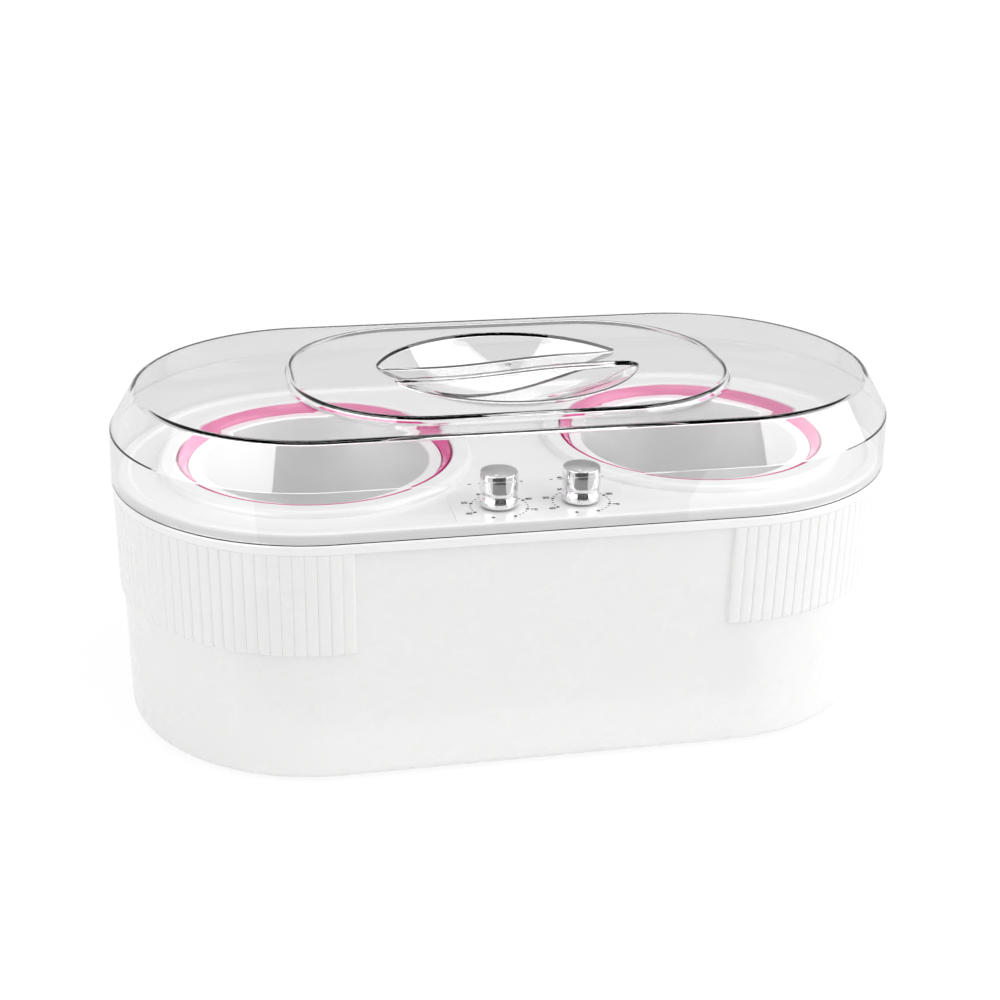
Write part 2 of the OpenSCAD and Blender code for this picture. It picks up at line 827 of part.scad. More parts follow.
module power_inlet() {
    half_w = inlet_shell_w / 2;
    latch = 1.2;
    color("black")
    difference() {
        union() {
            translate([-inlet_w / 2, body_r, inlet_z - inlet_h / 2]) cube([inlet_w, inlet_face_t, inlet_h]);
            translate([-half_w, inlet_end, inlet_z - inlet_shell_h / 2])
                cube([inlet_shell_w, body_r - inlet_end + bury, inlet_shell_h]);
            translate([-half_w - latch, body_in - 2 * latch, inlet_z - latch])
                cube([2 * (half_w + latch), 2 * latch - seat_gap, 2 * latch]);
        }
        for (x = [-pin_x, pin_x])
            translate([x, 0, inlet_z])
                rotate([-90, 0, 0]) {
                    from_to(socket_r, socket_end, inlet_face + cut);
                    from_to(pin_r + fit, inlet_end - cut, socket_end + cut);
                }
    }
}

module inlet_pins() {
    color("gold")
    for (x = [-pin_x, pin_x])
        translate([x, 0, inlet_z])
            rotate([-90, 0, 0]) from_to(pin_r, pin_end, inlet_face - 3);
}

module terminal_block() {
    color("beige")
    difference() {
        translate([-block_l / 2, block_back - block_w / 2, block_z]) cube([block_l, block_w, block_h]);
        for (side = [left, right]) on_side(side) {
            for (x = poles)
                translate([x, block_back, 0])
                    from_to(terminal_r + 2 * fit, bore_z + bore_r + cut, block_top + cut);
            for (x = [heater_pole, thermo_pole])
                translate([x, block_back - block_w / 2 - cut, bore_z])
                    rotate([-90, 0, 0]) cylinder(r = bore_r, h = bore_d + cut);
            translate([pin_x, block_back + block_w / 2 + cut, bore_z])
                rotate([90, 0, 0]) cylinder(r = bore_r, h = bore_d + cut);
        }
    }
}

module terminal_screws() {
    low = bore_z + bore_r + cut;
    color("silver")
    for (side = [left, right]) on_side(side)
        for (x = poles)
            translate([x, block_back, 0])
                difference() {
                    from_to(terminal_r, low, block_top - 2);
                    translate([0, 0, block_top - 2]) cube([4 * lead_r, 0.6, 1.6], center = true);
                }
}

module inlet_leads() {
    bend_y = (pin_end + block_back + block_w / 2) / 2;
    color("saddlebrown")
    for (x = [-pin_x, pin_x])
        lead([[x, pin_end, inlet_z], [x, bend_y, inlet_z], [x, bend_y, bore_z],
              [x, block_back + block_w / 2 - bore_d + cut, bore_z]]);
}

// The leads of one side: block to thermostat, thermostat to cut-out, cut-out to
// heater band, heater band back to the block, and thermostat to pilot lamp
module side_leads(side) {
    block_in = block_back - block_w / 2 + bore_d - cut;
    cutout_z = well_under - cutout_h - tab_l;
    low_z = floor_top + low_run;
    mid_z = floor_top + mid_run;
    tab_y = heater_r * sin(heater_tab_angle);
    tab_x = half_straight - heater_r * cos(heater_tab_angle);
    heater_end = heater_z - tab_l;
    inner_x = knob_x + thermo_tab_x;
    side_run_y = -knob_front + lead_step;
    lamp_end = -knob_front + tab_t / 2;
    lamp_z = thermo_tab_z + tab_l / 2;
    color(side == left ? "firebrick" : "navy")
    on_side(side) {
        lead([[thermo_pole, block_in, bore_z], [thermo_pole, -knob_front, bore_z],
              [thermo_pole, -knob_front, thermo_tab_z]]);
        lead([[inner_x, -knob_front, thermo_tab_z], [inner_x, -knob_front, mid_z],
              [inner_x, side_run_y, mid_z], [half_straight - thermo_tab_x, side_run_y, mid_z],
              [half_straight - thermo_tab_x, 0, mid_z], [half_straight - thermo_tab_x, 0, cutout_z]]);
        lead([[half_straight + thermo_tab_x, 0, cutout_z], [half_straight + thermo_tab_x, 0, low_z],
              [half_straight + thermo_tab_x, tab_y, low_z], [tab_x, tab_y, low_z],
              [tab_x, tab_y, heater_end]]);
        lead([[tab_x, -tab_y, heater_end], [tab_x, -tab_y, mid_z], [heater_pole, -tab_y, mid_z],
              [heater_pole, -tab_y, bore_z], [heater_pole, block_in, bore_z]]);
        lead([[lamp_x - lamp_leg, -lamp_front, lamp_under], [lamp_x - lamp_leg, -lamp_front, lamp_z],
              [lamp_x - lamp_leg, lamp_end, lamp_z]]);
        lead([[lamp_x + lamp_leg, -lamp_front, lamp_under], [lamp_x + lamp_leg, -lamp_front, lamp_z],
              [inner_x - cut, -lamp_front, lamp_z], [inner_x - cut, lamp_end, lamp_z]]);
    }
}

// Screws and feet

module casing_screws() {
    color("dimgray")
    at_spots(tower_spots) screw_up(screw_r, screw_head_r, screw_seat_z, screw_end);
}

module rubber_feet() {
    color("black")
    at_spots(foot_spots) from_to(foot_r, 0, floor_z + foot_inset);
}

// Lid

module lid_envelope() {
    obround([[lid_r, lid_base], [shoulder_r, shoulder_z], [top_r, lid_top]]);
    translate([0, 0, lid_top - bury])
        linear_extrude(height = panel_up + bury)
            polygon(rounded_plan(panel_half_l, panel_half_w, panel_round));
}

module lid_inside() {
    lean_in = lid_lean * cut / lid_skirt_h;
    obround([[lid_in + lean_in, lid_base - cut],
             [shoulder_r - lid_wall, shoulder_z - lid_wall * tan(slope_angle / 2)],
             [top_r - lid_wall * tan(45 - slope_angle / 2), lid_top - lid_wall]]);
    translate([0, 0, lid_top - lid_wall - bury])
        linear_extrude(height = panel_up + bury)
            polygon(rounded_plan(panel_half_l - lid_wall, panel_half_w - lid_wall,
                                 panel_round - lid_wall));
}

// One half bowl beside the bar, grown by a skin's thickness
module dish(skin) {
    reach = dish_r + skin;
    intersection() {
        translate([0, -dish_shift, dish_ball_z]) sphere(r = dish_ball + skin, $fn = 180);
        translate([-reach - cut, bar_w / 2 - skin, panel_top - dish_depth - skin - cut])
            cube([2 * (reach + cut), reach, dish_depth + skin + cut + (skin > 0 ? 0 : cut)]);
    }
}

module at_grip() {
    translate([0, -grip_front, 0])
        for (turn = [0, 180])
            rotate([0, 0, grip_turn + turn]) children();
}

module clear_lid() {
    color("azure", 0.35)
    difference() {
        union() {
            difference() {
                lid_envelope();
                lid_inside();
            }
            at_grip() dish(lid_wall);
        }
        at_grip() dish(0);
    }
}

outer_casing();
top_deck();
well_ring(left);  // left_well_ring
well_ring(right);  // right_well_ring
heating_well(left);  // left_heating_well
heating_well(right);  // right_heating_well
heater_band(left);  // left_heater_band
heater_band(right);  // right_heater_band
heater_band_screws();
well_clamp(left);  // left_well_clamp
well_clamp(right);  // right_well_clamp
clamp_screws();
wax_pot(left);  // left_wax_pot
wax_pot(right);  // right_wax_pot
thermal_cutout(left);  // left_thermal_cutout
thermal_cutout(right);  // right_thermal_cutout
thermostat(left);  // left_thermostat
thermostat(right);  // right_thermostat
thermostat_shaft(left);  // left_thermostat_shaft
thermostat_shaft(right);  // right_thermostat_shaft
thermostat_nut(left);  // left_thermostat_nut
thermostat_nut(right);  // right_thermostat_nut
knob(left);  // left_knob
knob(right);  // right_knob
pointer_dot(left);  // left_pointer_dot
pointer_dot(right);  // right_pointer_dot
pilot_lamp(left);  // left_pilot_lamp
pilot_lamp(right);  // right_pilot_lamp
power_inlet();
inlet_pins();
terminal_block();
terminal_screws();
inlet_leads();
side_leads(left);  // left_leads
side_leads(right);  // right_leads
casing_screws();
rubber_feet();
clear_lid();
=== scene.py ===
"""Visual model of a double wax warmer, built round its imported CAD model.

Every piece is in metres in the CAD model's own frame: the ground is z = 0, the
front looks towards -Y and the two wells stand on the X axis.
"""

import logging
import math
from collections.abc import Callable, Iterable, Iterator, Sequence
from contextlib import contextmanager
from dataclasses import dataclass
from enum import Enum

import bmesh
import bpy
from mathutils import Matrix, Vector


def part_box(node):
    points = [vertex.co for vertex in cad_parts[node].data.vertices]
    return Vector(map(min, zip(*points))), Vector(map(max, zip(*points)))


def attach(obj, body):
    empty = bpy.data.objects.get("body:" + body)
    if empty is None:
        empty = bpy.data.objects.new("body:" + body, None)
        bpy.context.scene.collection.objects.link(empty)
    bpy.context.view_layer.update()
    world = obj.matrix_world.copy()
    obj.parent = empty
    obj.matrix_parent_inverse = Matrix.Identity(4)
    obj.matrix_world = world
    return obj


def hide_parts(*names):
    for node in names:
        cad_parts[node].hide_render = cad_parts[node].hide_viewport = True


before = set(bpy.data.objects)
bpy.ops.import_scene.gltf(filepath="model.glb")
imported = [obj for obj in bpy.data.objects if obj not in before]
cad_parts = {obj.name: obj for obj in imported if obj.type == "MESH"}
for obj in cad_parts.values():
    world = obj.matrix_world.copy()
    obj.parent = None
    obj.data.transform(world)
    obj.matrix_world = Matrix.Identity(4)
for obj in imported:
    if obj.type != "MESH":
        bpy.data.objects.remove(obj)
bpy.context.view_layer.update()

LOG = logging.getLogger("wax_warmer")
TINY = 1e-6
# Points nearer than this become one
WELD_GAP = 2e-6
# How far a cutting tool stands past what it cuts
CUT = 0.001
QUARTER = math.pi / 2
BODY = "warmer"

Point = tuple[float, float]
Place = tuple[float, float, float]
Test = Callable[[Vector], bool]
Piece = bpy.types.Object
Socket = bpy.types.NodeSocket


class Side(Enum):
    """The two halves of the warmer, with the sign of their X."""

    LEFT = -1
    RIGHT = 1

    @property
    def label(self) -> str:
        """The word that starts the names of this side's pieces."""
        return self.name.lower()


class Grain(Enum):
    """How a finish's fine pattern runs over its piece."""

    MOULDED = "even grain of a moulded surface"
    TURNED = "rings round an upright axis"
    DRAWN = "lines along X"
    CLOUDED = "soft patches without a direction"


# Sizes


@dataclass(frozen=True)
class Plan:
    """Places that the other classes share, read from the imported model.

    Args:
        half_straight: distance from the middle to each well's axis.
        casing_r: outside radius of the casing's round ends.
        casing_low: height of the casing's underside.
        casing_top: height of the casing's top edge.
        rim_r: radius of the deck's outer rim.
        collar_top: height of the collars round the wells.
        lid_r: outside radius of the lid's lower edge.
        lid_low: height of the lid's lower edge.
        lid_top: height of the lid's raised panel.
        pot_lip_r: radius of a pot's flat rim.
        pot_low: height of a pot's underside.
        pot_top: height of a pot's rim.
        knob_x: distance from the middle to each knob's axis.
        knob_y: place of the knobs' axes along Y.
        knob_low: height of a knob's lower edge.
        lamp_x: distance from the middle to each pilot lamp.
        lamp_y: place of the pilot lamps along Y.
    """

    half_straight: float
    casing_r: float
    casing_low: float
    casing_top: float
    rim_r: float
    collar_top: float
    lid_r: float
    lid_low: float
    lid_top: float
    pot_lip_r: float
    pot_low: float
    pot_top: float
    knob_x: float
    knob_y: float
    knob_low: float
    lamp_x: float
    lamp_y: float

    @classmethod
    def read(cls, rib_proud: float = 0.00165, lid_slack: float = 0.00001) -> "Plan":
        """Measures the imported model.

        Args:
            rib_proud: how far the ribs stand out of the casing.
            lid_slack: how much smaller than the CAD model's lid this one is.

        Returns:
            The plan that all the pieces are built to.
        """
        pot_low, pot_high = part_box("right_wax_pot")
        case_low, case_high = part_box("outer_casing")
        deck_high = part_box("top_deck")[1]
        lid_low, lid_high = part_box("clear_lid")
        knob_low, knob_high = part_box("right_knob")
        lamp_low, lamp_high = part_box("right_pilot_lamp")
        half_straight = (pot_low.x + pot_high.x) / 2
        return cls(
            half_straight=half_straight,
            casing_r=case_high.y - rib_proud,
            casing_low=case_low.z,
            casing_top=case_high.z,
            rim_r=deck_high.y,
            collar_top=deck_high.z,
            lid_r=min(lid_high.y, lid_high.x - half_straight) - lid_slack,
            lid_low=lid_low.z,
            lid_top=lid_high.z,
            pot_lip_r=(pot_high.x - pot_low.x) / 2,
            pot_low=pot_low.z,
            pot_top=pot_high.z,
            knob_x=(knob_low.x + knob_high.x) / 2,
            knob_y=(knob_low.y + knob_high.y) / 2,
            knob_low=knob_low.z,
            lamp_x=(lamp_low.x + lamp_high.x) / 2,
            lamp_y=(lamp_low.y + lamp_high.y) / 2,
        )


# Modelling tools


class Bench:
    """Blender's own modelling tools, used on one object at a time."""

    @staticmethod
    def clear() -> None:
        """Leaves edit mode and deselects everything."""
        if bpy.context.object and bpy.context.object.mode != "OBJECT":
            bpy.ops.object.mode_set(mode="OBJECT")
        bpy.ops.object.select_all(action="DESELECT")

    @staticmethod
    def take(*pieces: Piece) -> None:
        """Selects pieces alone, with the first one active.

        Args:
            pieces: the pieces.
        """
        Bench.clear()
        for piece in pieces:
            piece.select_set(True)
        bpy.context.view_layer.objects.active = pieces[0]

    @staticmethod
    @contextmanager
    def editing(piece: Piece, kind: str = "VERT") -> Iterator[None]:
        """Holds one piece open in edit mode, with everything selected.

        Args:
            piece: the piece.
            kind: the selection mode, VERT, EDGE or FACE.
        """
        Bench.take(piece)
        bpy.ops.object.mode_set(mode="EDIT")
        bpy.ops.mesh.select_mode(type=kind)
        bpy.ops.mesh.select_all(action="SELECT")
        yield
        bpy.ops.object.mode_set(mode="OBJECT")

    @staticmethod
    def pick(piece: Piece, test: Test, kind: str = "EDGE", open_only: bool = False) -> None:
        """Selects what lies wholly where the test says, in edit mode.

        Args:
            piece: the object that is open in edit mode.
            test: says whether a point belongs to the place.
            kind: VERT, EDGE or FACE.
            open_only: True for boundary edges only.
        """
        bpy.ops.mesh.select_mode(type=kind)
        bpy.ops.mesh.select_all(action="DESELECT")
        mesh = bmesh.from_edit_mesh(piece.data)
        held = {v.index for v in mesh.verts if test(v.co)}
        if kind == "VERT":
            found = [v for v in mesh.verts if v.index in held]
        else:
            rows = mesh.edges if kind == "EDGE" else mesh.faces
            found = [e for e in rows if all(v.index in held for v in e.verts)]
        if open_only:
            found = [e for e in found if e.is_boundary or e.is_wire]
        for element in found:
            element.select_set(True)
        bmesh.update_edit_mesh(piece.data)

    @staticmethod
    def pull(*move: float) -> None:
        """Extrudes what is selected in edit mode along a move."""
        bpy.ops.mesh.extrude_region_move(TRANSFORM_OT_translate={"value": move})

    @staticmethod
    def apply(piece: Piece, kind: str, **settings: object) -> None:
        """Adds one modifier to a piece and applies it.

        Args:
            piece: the piece that is changed.
            kind: Blender's name for the modifier.
            settings: the modifier's attributes.
        """
        Bench.take(piece)
        step = piece.modifiers.new(kind, kind)
        for key, value in settings.items():
            setattr(step, key, value)
        bpy.ops.object.modifier_apply(modifier=step.name)

    @staticmethod
    def named(piece: Piece, name: str) -> Piece:
        """Gives an object and its mesh one name, and hands the object back."""
        piece.name = piece.data.name = name
        return piece

    @staticmethod
    def chain(name: str, points: Sequence[Vector], closed: bool = False) -> Piece:
        """Draws a line of edges through points.

        Args:
            name: the new object's name.
            points: the line's corners.
            closed: True for a line that ends where it starts.

        Returns:
            The line, as an object.
        """
        Bench.clear()
        bpy.ops.mesh.primitive_plane_add(size=CUT, location=(0, 0, 0))
        piece = Bench.named(bpy.context.object, name)
        with Bench.editing(piece):
            # The plane shrinks to the line's first point
            bpy.ops.mesh.merge(type="CENTER")
            bpy.ops.transform.translate(value=points[0])
            for start, end in zip(points, points[1:]):
                Bench.pull(*(end - start))
            if closed:
                start, end = points[0], points[-1]
                Bench.pick(piece, lambda p: min((p - start).length, (p - end).length) < TINY, "VERT")
                bpy.ops.mesh.edge_face_add()
        return piece

    @staticmethod
    def sheet(name: str, points: Sequence[Vector]) -> Piece:
        """Draws one flat face.

        Args:
            name: the new object's name.
            points: the face's corners in order.

        Returns:
            The face, as an object.
        """
        piece = Bench.chain(name, points, closed=True)
        with Bench.editing(piece, "EDGE"):
            bpy.ops.mesh.edge_face_add()
        return piece

    @staticmethod
    def weld(piece: Piece, gap: float = WELD_GAP) -> None:
        """Merges doubles and turns all the faces outwards.

        Args:
            piece: the piece.
            gap: how near to each other doubles are.
        """
        with Bench.editing(piece):
            bpy.ops.mesh.remove_doubles(threshold=gap)
            bpy.ops.mesh.select_all(action="SELECT")
            bpy.ops.mesh.normals_make_consistent(inside=False)

    @staticmethod
    def turn(name: str, section: Iterable[Point], centre: Point = (0, 0), steps: int = 96) -> Piece:
        """Turns a section once round an upright axis.

        Args:
            name: the new object's name.
            section: radius and height of each point, from pole to pole or closed.
            centre: x and y of the axis.
            steps: faces round the axis.

        Returns:
            The turned piece, welded.
        """
        x, y = centre
        piece = Bench.chain(name, [Vector((x + r, y, z)) for r, z in section])
        with Bench.editing(piece):
            bpy.ops.mesh.spin(steps=steps, angle=4 * QUARTER, center=(x, y, 0), axis=(0, 0, 1))
        Bench.weld(piece)
        return piece

    @staticmethod
    def carry(name: str, section: Iterable[Point], corner: Point, steps: int = 40) -> Piece:
        """Carries a section round a plan with straight sides and round corners.

        Args:
            name: the new object's name.
            section: distance from the corner's centre and height of each point.
            corner: x and y of the corner's centre.
            steps: faces round each quarter turn.

        Returns:
            The carried piece, welded.
        """
        x, y = corner
        piece = Bench.chain(name, [Vector((x, -y - r, z)) for r, z in section])
        with Bench.editing(piece):
            bpy.ops.mesh.spin(steps=steps, angle=-QUARTER, center=(x, -y, 0), axis=(0, 0, 1))
            bpy.ops.mesh.select_all(action="SELECT")
            bpy.ops.mesh.remove_doubles(threshold=TINY)
            Bench.pick(piece, lambda p: abs(p.x - x) < TINY)
            Bench.pull(-x, 0, 0)
            if y > TINY:
                Bench.pick(piece, lambda p: abs(p.y + y) < TINY)
                Bench.pull(0, y, 0)
        Bench.apply(piece, "MIRROR", use_axis=(True, True, False), merge_threshold=WELD_GAP)
        Bench.weld(piece)
        return piece

    @staticmethod
    def copy(piece: Piece, name: str) -> Piece:
        """Copies a piece with its own mesh.

        Args:
            piece: the piece to copy.
            name: the copy's name.

        Returns:
            The copy.
        """
        Bench.take(piece)
        bpy.ops.object.duplicate(linked=False)
        return Bench.named(bpy.context.object, name)

    @staticmethod
    def shift(piece: Piece, move: Sequence[float]) -> None:
        """Moves a piece's mesh and leaves its object at the origin."""
        with Bench.editing(piece):
            bpy.ops.transform.translate(value=move)

    @staticmethod
    def swing(piece: Piece, angle: float) -> None:
        """Turns a piece's mesh round the Z axis, counter-clockwise from above."""
        piece.data.transform(Matrix.Rotation(angle, 4, "Z"))

    @staticmethod
    def bake_place(piece: Piece) -> Piece:
        """Moves an object's place, turn and scale into its mesh.

        Args:
            piece: the object.

        Returns:
            The same object, at the origin.
        """
        Bench.take(piece)
        bpy.ops.object.transform_apply(location=True, rotation=True, scale=True)
        return piece

    @staticmethod
    def join(pieces: Sequence[Piece], name: str) -> Piece:
        """Joins pieces into the first one.

        Args:
            pieces: the pieces.
            name: the name of what they become.

        Returns:
            The joined piece.
        """
        Bench.take(*pieces)
        if len(pieces) > 1:
            bpy.ops.object.join()
        return Bench.named(pieces[0], name)

    @staticmethod
    def fill(piece: Piece, height: float) -> None:
        """Fills the flat region between all the open loops at one height.

        Args:
            piece: the open piece.
            height: the region's height.
        """
        with Bench.editing(piece, "EDGE"):
            Bench.pick(piece, lambda p: abs(p.z - height) < 5 * TINY, open_only=True)
            bpy.ops.mesh.fill(use_beauty=True)

    @staticmethod
    def trim(piece: Piece, tools: Sequence[Piece], operation: str) -> None:
        """Cuts tools out of a piece or adds them to it, and removes the tools.

        Args:
            piece: the closed piece that is changed.
            tools: the closed solids.
            operation: DIFFERENCE or UNION.
        """
        tool = Bench.join(tools, "tool")
        Bench.apply(piece, "BOOLEAN", operation=operation, solver="EXACT", use_self=True, object=tool)
        bpy.data.objects.remove(tool)

    @staticmethod
    def soften(piece: Piece, angle: float) -> None:
        """Shades a piece smooth, with flat faces kept flat.

        Args:
            piece: the piece.
            angle: the angle in degrees from which an edge stays sharp.
        """
        Bench.take(piece)
        bpy.ops.object.shade_smooth_by_angle(angle=math.radians(angle))
        Bench.apply(piece, "WEIGHTED_NORMAL", keep_sharp=True, weight=80)

    @staticmethod
    def rod(start: Place, radius: float, length: float, sides: int = 32, along_y: bool = False) -> Piece:
        """Adds a rod, as a tool for cutting or joining.

        Args:
            start: the middle of its lower or front end.
            radius: its radius.
            length: its length.
            sides: the faces round it.
            along_y: True for a rod that runs towards the back, False for an upright one.

        Returns:
            The rod.
        """
        Bench.clear()
        way = Vector((0, 1, 0)) if along_y else Vector((0, 0, 1))
        bpy.ops.mesh.primitive_cylinder_add(
            vertices=sides, radius=radius, depth=length, location=Vector(start) + way * (length / 2),
            rotation=(QUARTER if along_y else 0, 0, 0),
        )
        return Bench.bake_place(bpy.context.object)

    @staticmethod
    def block(low: Place, high: Place) -> Piece:
        """Adds a block, as a tool or the start of a piece.

        Args:
            low: its lowest corner.
            high: its highest corner.

        Returns:
            The block.
        """
        Bench.clear()
        bpy.ops.mesh.primitive_cube_add(size=1, location=[(a + b) / 2 for a, b in zip(low, high)])
        piece = bpy.context.object
        piece.scale = [b - a for a, b in zip(low, high)]
        return Bench.bake_place(piece)


def rounded(points: Sequence[Point], radii: dict[int, float], steps: int = 4) -> list[Point]:
    """Rounds the named corners of a section.

    Args:
        points: radius and height of each corner.
        radii: the fillet's radius for the numbers of the corners to round.
        steps: faces in each fillet.

    Returns:
        The section with its fillets.
    """
    # The share of each side beside a corner that its fillet may take
    most = 0.48
    section: list[Point] = []
    for number, corner in enumerate(points):
        if number not in radii:
            section.append(corner)
            continue
        middle = Vector(corner)
        back = Vector(points[number - 1]) - middle
        ahead = Vector(points[number + 1]) - middle
        half = back.angle(ahead) / 2
        reach = min(radii[number] / math.tan(half), most * back.length, most * ahead.length)
        radius = reach * math.tan(half)
        centre = middle + (back.normalized() + ahead.normalized()).normalized() * (radius / math.sin(half))
        start = middle + back.normalized() * reach - centre
        end = middle + ahead.normalized() * reach - centre
        whole = start.angle_signed(end)
        for step in range(steps + 1):
            turned = start.copy()
            turned.rotate(Matrix.Rotation(-whole * step / steps, 2))
            section.append(tuple(centre + turned))
    return section


def divided(points: Sequence[Point], longest: float) -> list[Point]:
    """Adds points to a section's long straight runs.

    Args:
        points: the section's corners.
        longest: the longest run that is left whole.

    Returns:
        The section with its added points.
    """
    section = [points[0]]
    for start, end in zip(points, points[1:]):
        run = Vector(end) - Vector(start)
        count = max(1, math.ceil(run.length / longest))
        for step in range(1, count + 1):
            section.append(tuple(Vector(start) + run * step / count))
    return section


def bow(centre: Point, reach: Point, angles: Iterable[float]) -> list[Point]:
    """Gives points of an upright ellipse for a section.

    Args:
        centre: the ellipse's middle.
        reach: its half width and half height.
        angles: where the points are, in degrees outwards from the top.

    Returns:
        The points.
    """
    turns = [math.radians(angle) for angle in angles]
    return [(centre[0] + reach[0] * math.sin(t), centre[1] + reach[1] * math.cos(t)) for t in turns]


def both_ways(x: float, y: float) -> list[Point]:
    """Gives the four places that mirror each other in X and Y."""
    return [(a * x, b * y) for a in (-1, 1) for b in (-1, 1)]


# Finishes


class Desk:
    """A material's node tree, with short calls to add nodes and to join them."""

    def __init__(self, name: str) -> None:
        """Starts an empty material.

        Args:
            name: the material's name.
        """
        self.material = bpy.data.materials.new(name)
        self.material.use_nodes = True
        self.tree = self.material.node_tree
        self.tree.nodes.clear()
        self.output = self.add("ShaderNodeOutputMaterial")

    @classmethod
    def on(cls, tree: bpy.types.NodeTree, output: str) -> "Desk":
        """Starts afresh on a node tree that is there.

        Args:
            tree: the node tree.
            output: Blender's name for its output node.

        Returns:
            The desk.
        """
        desk = cls.__new__(cls)
        desk.tree = tree
        tree.nodes.clear()
        desk.output = desk.add(output)
        return desk

    def add(self, kind: str, settings: dict[str, object] | None = None, **values: object) -> bpy.types.Node:
        """Adds a node.

        Args:
            kind: Blender's name for the node.
            settings: attributes of the node.
            values: sockets by name, with _ for a space, each a number or a socket.

        Returns:
            The node.
        """
        node = self.tree.nodes.new(kind)
        for key, value in (settings or {}).items():
            setattr(node, key, value)
        for key, value in values.items():
            self.put(node.inputs[key.replace("_", " ")], value)
        return node

    def put(self, socket: Socket, value: object) -> None:
        """Sets a socket to a number, or joins another socket to it.

        Args:
            socket: the socket.
            value: the number, the colour or the other socket.
        """
        if isinstance(value, bpy.types.NodeSocket):
            self.tree.links.new(value, socket)
        else:
            socket.default_value = value

    def fit(self, node: bpy.types.Node, *values: object) -> bpy.types.Node:
        """Fills a node's first sockets in their order.

        Args:
            node: the node.
            values: a number or a socket for each.

        Returns:
            The node.
        """
        for socket, value in zip(node.inputs, values):
            self.put(socket, value)
        return node

    def sum(self, operation: str, first: object, second: object = 0.0) -> Socket:
        """Works out one step of arithmetic between numbers or sockets."""
        return self.fit(self.add("ShaderNodeMath", {"operation": operation}), first, second).outputs[0]

    def times(self, first: object, second: object) -> Socket:
        """Multiplies two numbers or sockets."""
        return self.sum("MULTIPLY", first, second)

    def plus(self, first: object, second: object) -> Socket:
        """Adds two numbers or sockets."""
        return self.sum("ADD", first, second)

    def minus(self, first: object, second: object) -> Socket:
        """Takes the second number or socket off the first."""
        return self.sum("SUBTRACT", first, second)

    def blend(self, share: object, first: object, second: object) -> Socket:
        """Mixes two colours.

        Args:
            share: the second one's share, from 0 to 1.
            first: a colour or a socket.
            second: a colour or a socket.

        Returns:
            The mixed colour.
        """
        node = self.add("ShaderNodeMix", {"data_type": "RGBA"})
        for socket, value in zip((node.inputs[0], node.inputs[6], node.inputs[7]), (share, first, second)):
            self.put(socket, value)
        return node.outputs[2]

    def ramp(self, value: object, run: Point, ends: Point) -> Socket:
        """Takes a value's run from one level to another, and keeps to these levels outside it."""
        return self.fit(self.add("ShaderNodeMapRange"), value, *run, *ends).outputs[0]

    def spread(self, value: object, low: float, high: float) -> Socket:
        """Spreads a noise pattern over a range."""
        return self.ramp(value, (0.25, 0.75), (low, high))

    def here(self) -> Socket:
        """Gives the coordinates of the object that wears the material."""
        return self.add("ShaderNodeTexCoord").outputs["Object"]

    def split(self, place: Socket) -> Sequence[Socket]:
        """Gives a place's x, y and z."""
        return self.fit(self.add("ShaderNodeSeparateXYZ"), place).outputs

    def mirrored(self) -> Socket:
        """Gives 1 after a reflection and 0 before it."""
        depth = self.add("ShaderNodeLightPath").outputs["Glossy Depth"]
        return self.sum("MINIMUM", depth, 1.0)

    def shown_white(self) -> Socket:
        """Gives 1 for the rays that show the white background, and 0 for those that only light.

        Returns:
            The share.
        """
        path = self.add("ShaderNodeLightPath")
        total = path.outputs["Is Camera Ray"]
        for name in ("Is Glossy Ray", "Is Transmission Ray"):
            total = self.sum("MAXIMUM", total, path.outputs[name])
        return total

    def dimmed(self, through: float) -> Socket:
        """Gives 1, or a lower level for the rays that have passed clear plastic."""
        passed = self.add("ShaderNodeLightPath").outputs["Is Transmission Ray"]
        return self.minus(1.0, self.times(passed, 1.0 - through))

    def noise(self, where: object, scale: float, detail: float) -> Socket:
        """Adds a noise pattern and gives its strength."""
        node = self.add("ShaderNodeTexNoise", Vector=where, Scale=scale, Detail=detail, Roughness=0.55)
        return node.outputs[0]

    def show(self, shader: bpy.types.Node) -> None:
        """Makes a shader what the material or the world shows."""
        self.put(self.output.inputs["Surface"], shader.outputs[0])

    def show_mixed(self, share: object, first: bpy.types.Node, second: bpy.types.Node) -> None:
        """Makes a mix of two shaders what the material shows, by the second one's share."""
        self.show(self.fit(self.add("ShaderNodeMixShader"), share, first.outputs[0], second.outputs[0]))

    def leave_unsampled(self) -> None:
        """Keeps the material's glow out of the lamps that Cycles aims at."""
        self.material.cycles.emission_sampling = "NONE"


def colour(red: float, green: float, blue: float) -> tuple[float, float, float, float]:
    """Turns a screen colour from 0 to 1 into the shader's plain one."""
    plain = [c / 12.92 if c <= 0.04045 else ((c + 0.055) / 1.055) ** 2.4 for c in (red, green, blue)]
    return (plain[0], plain[1], plain[2], 1.0)


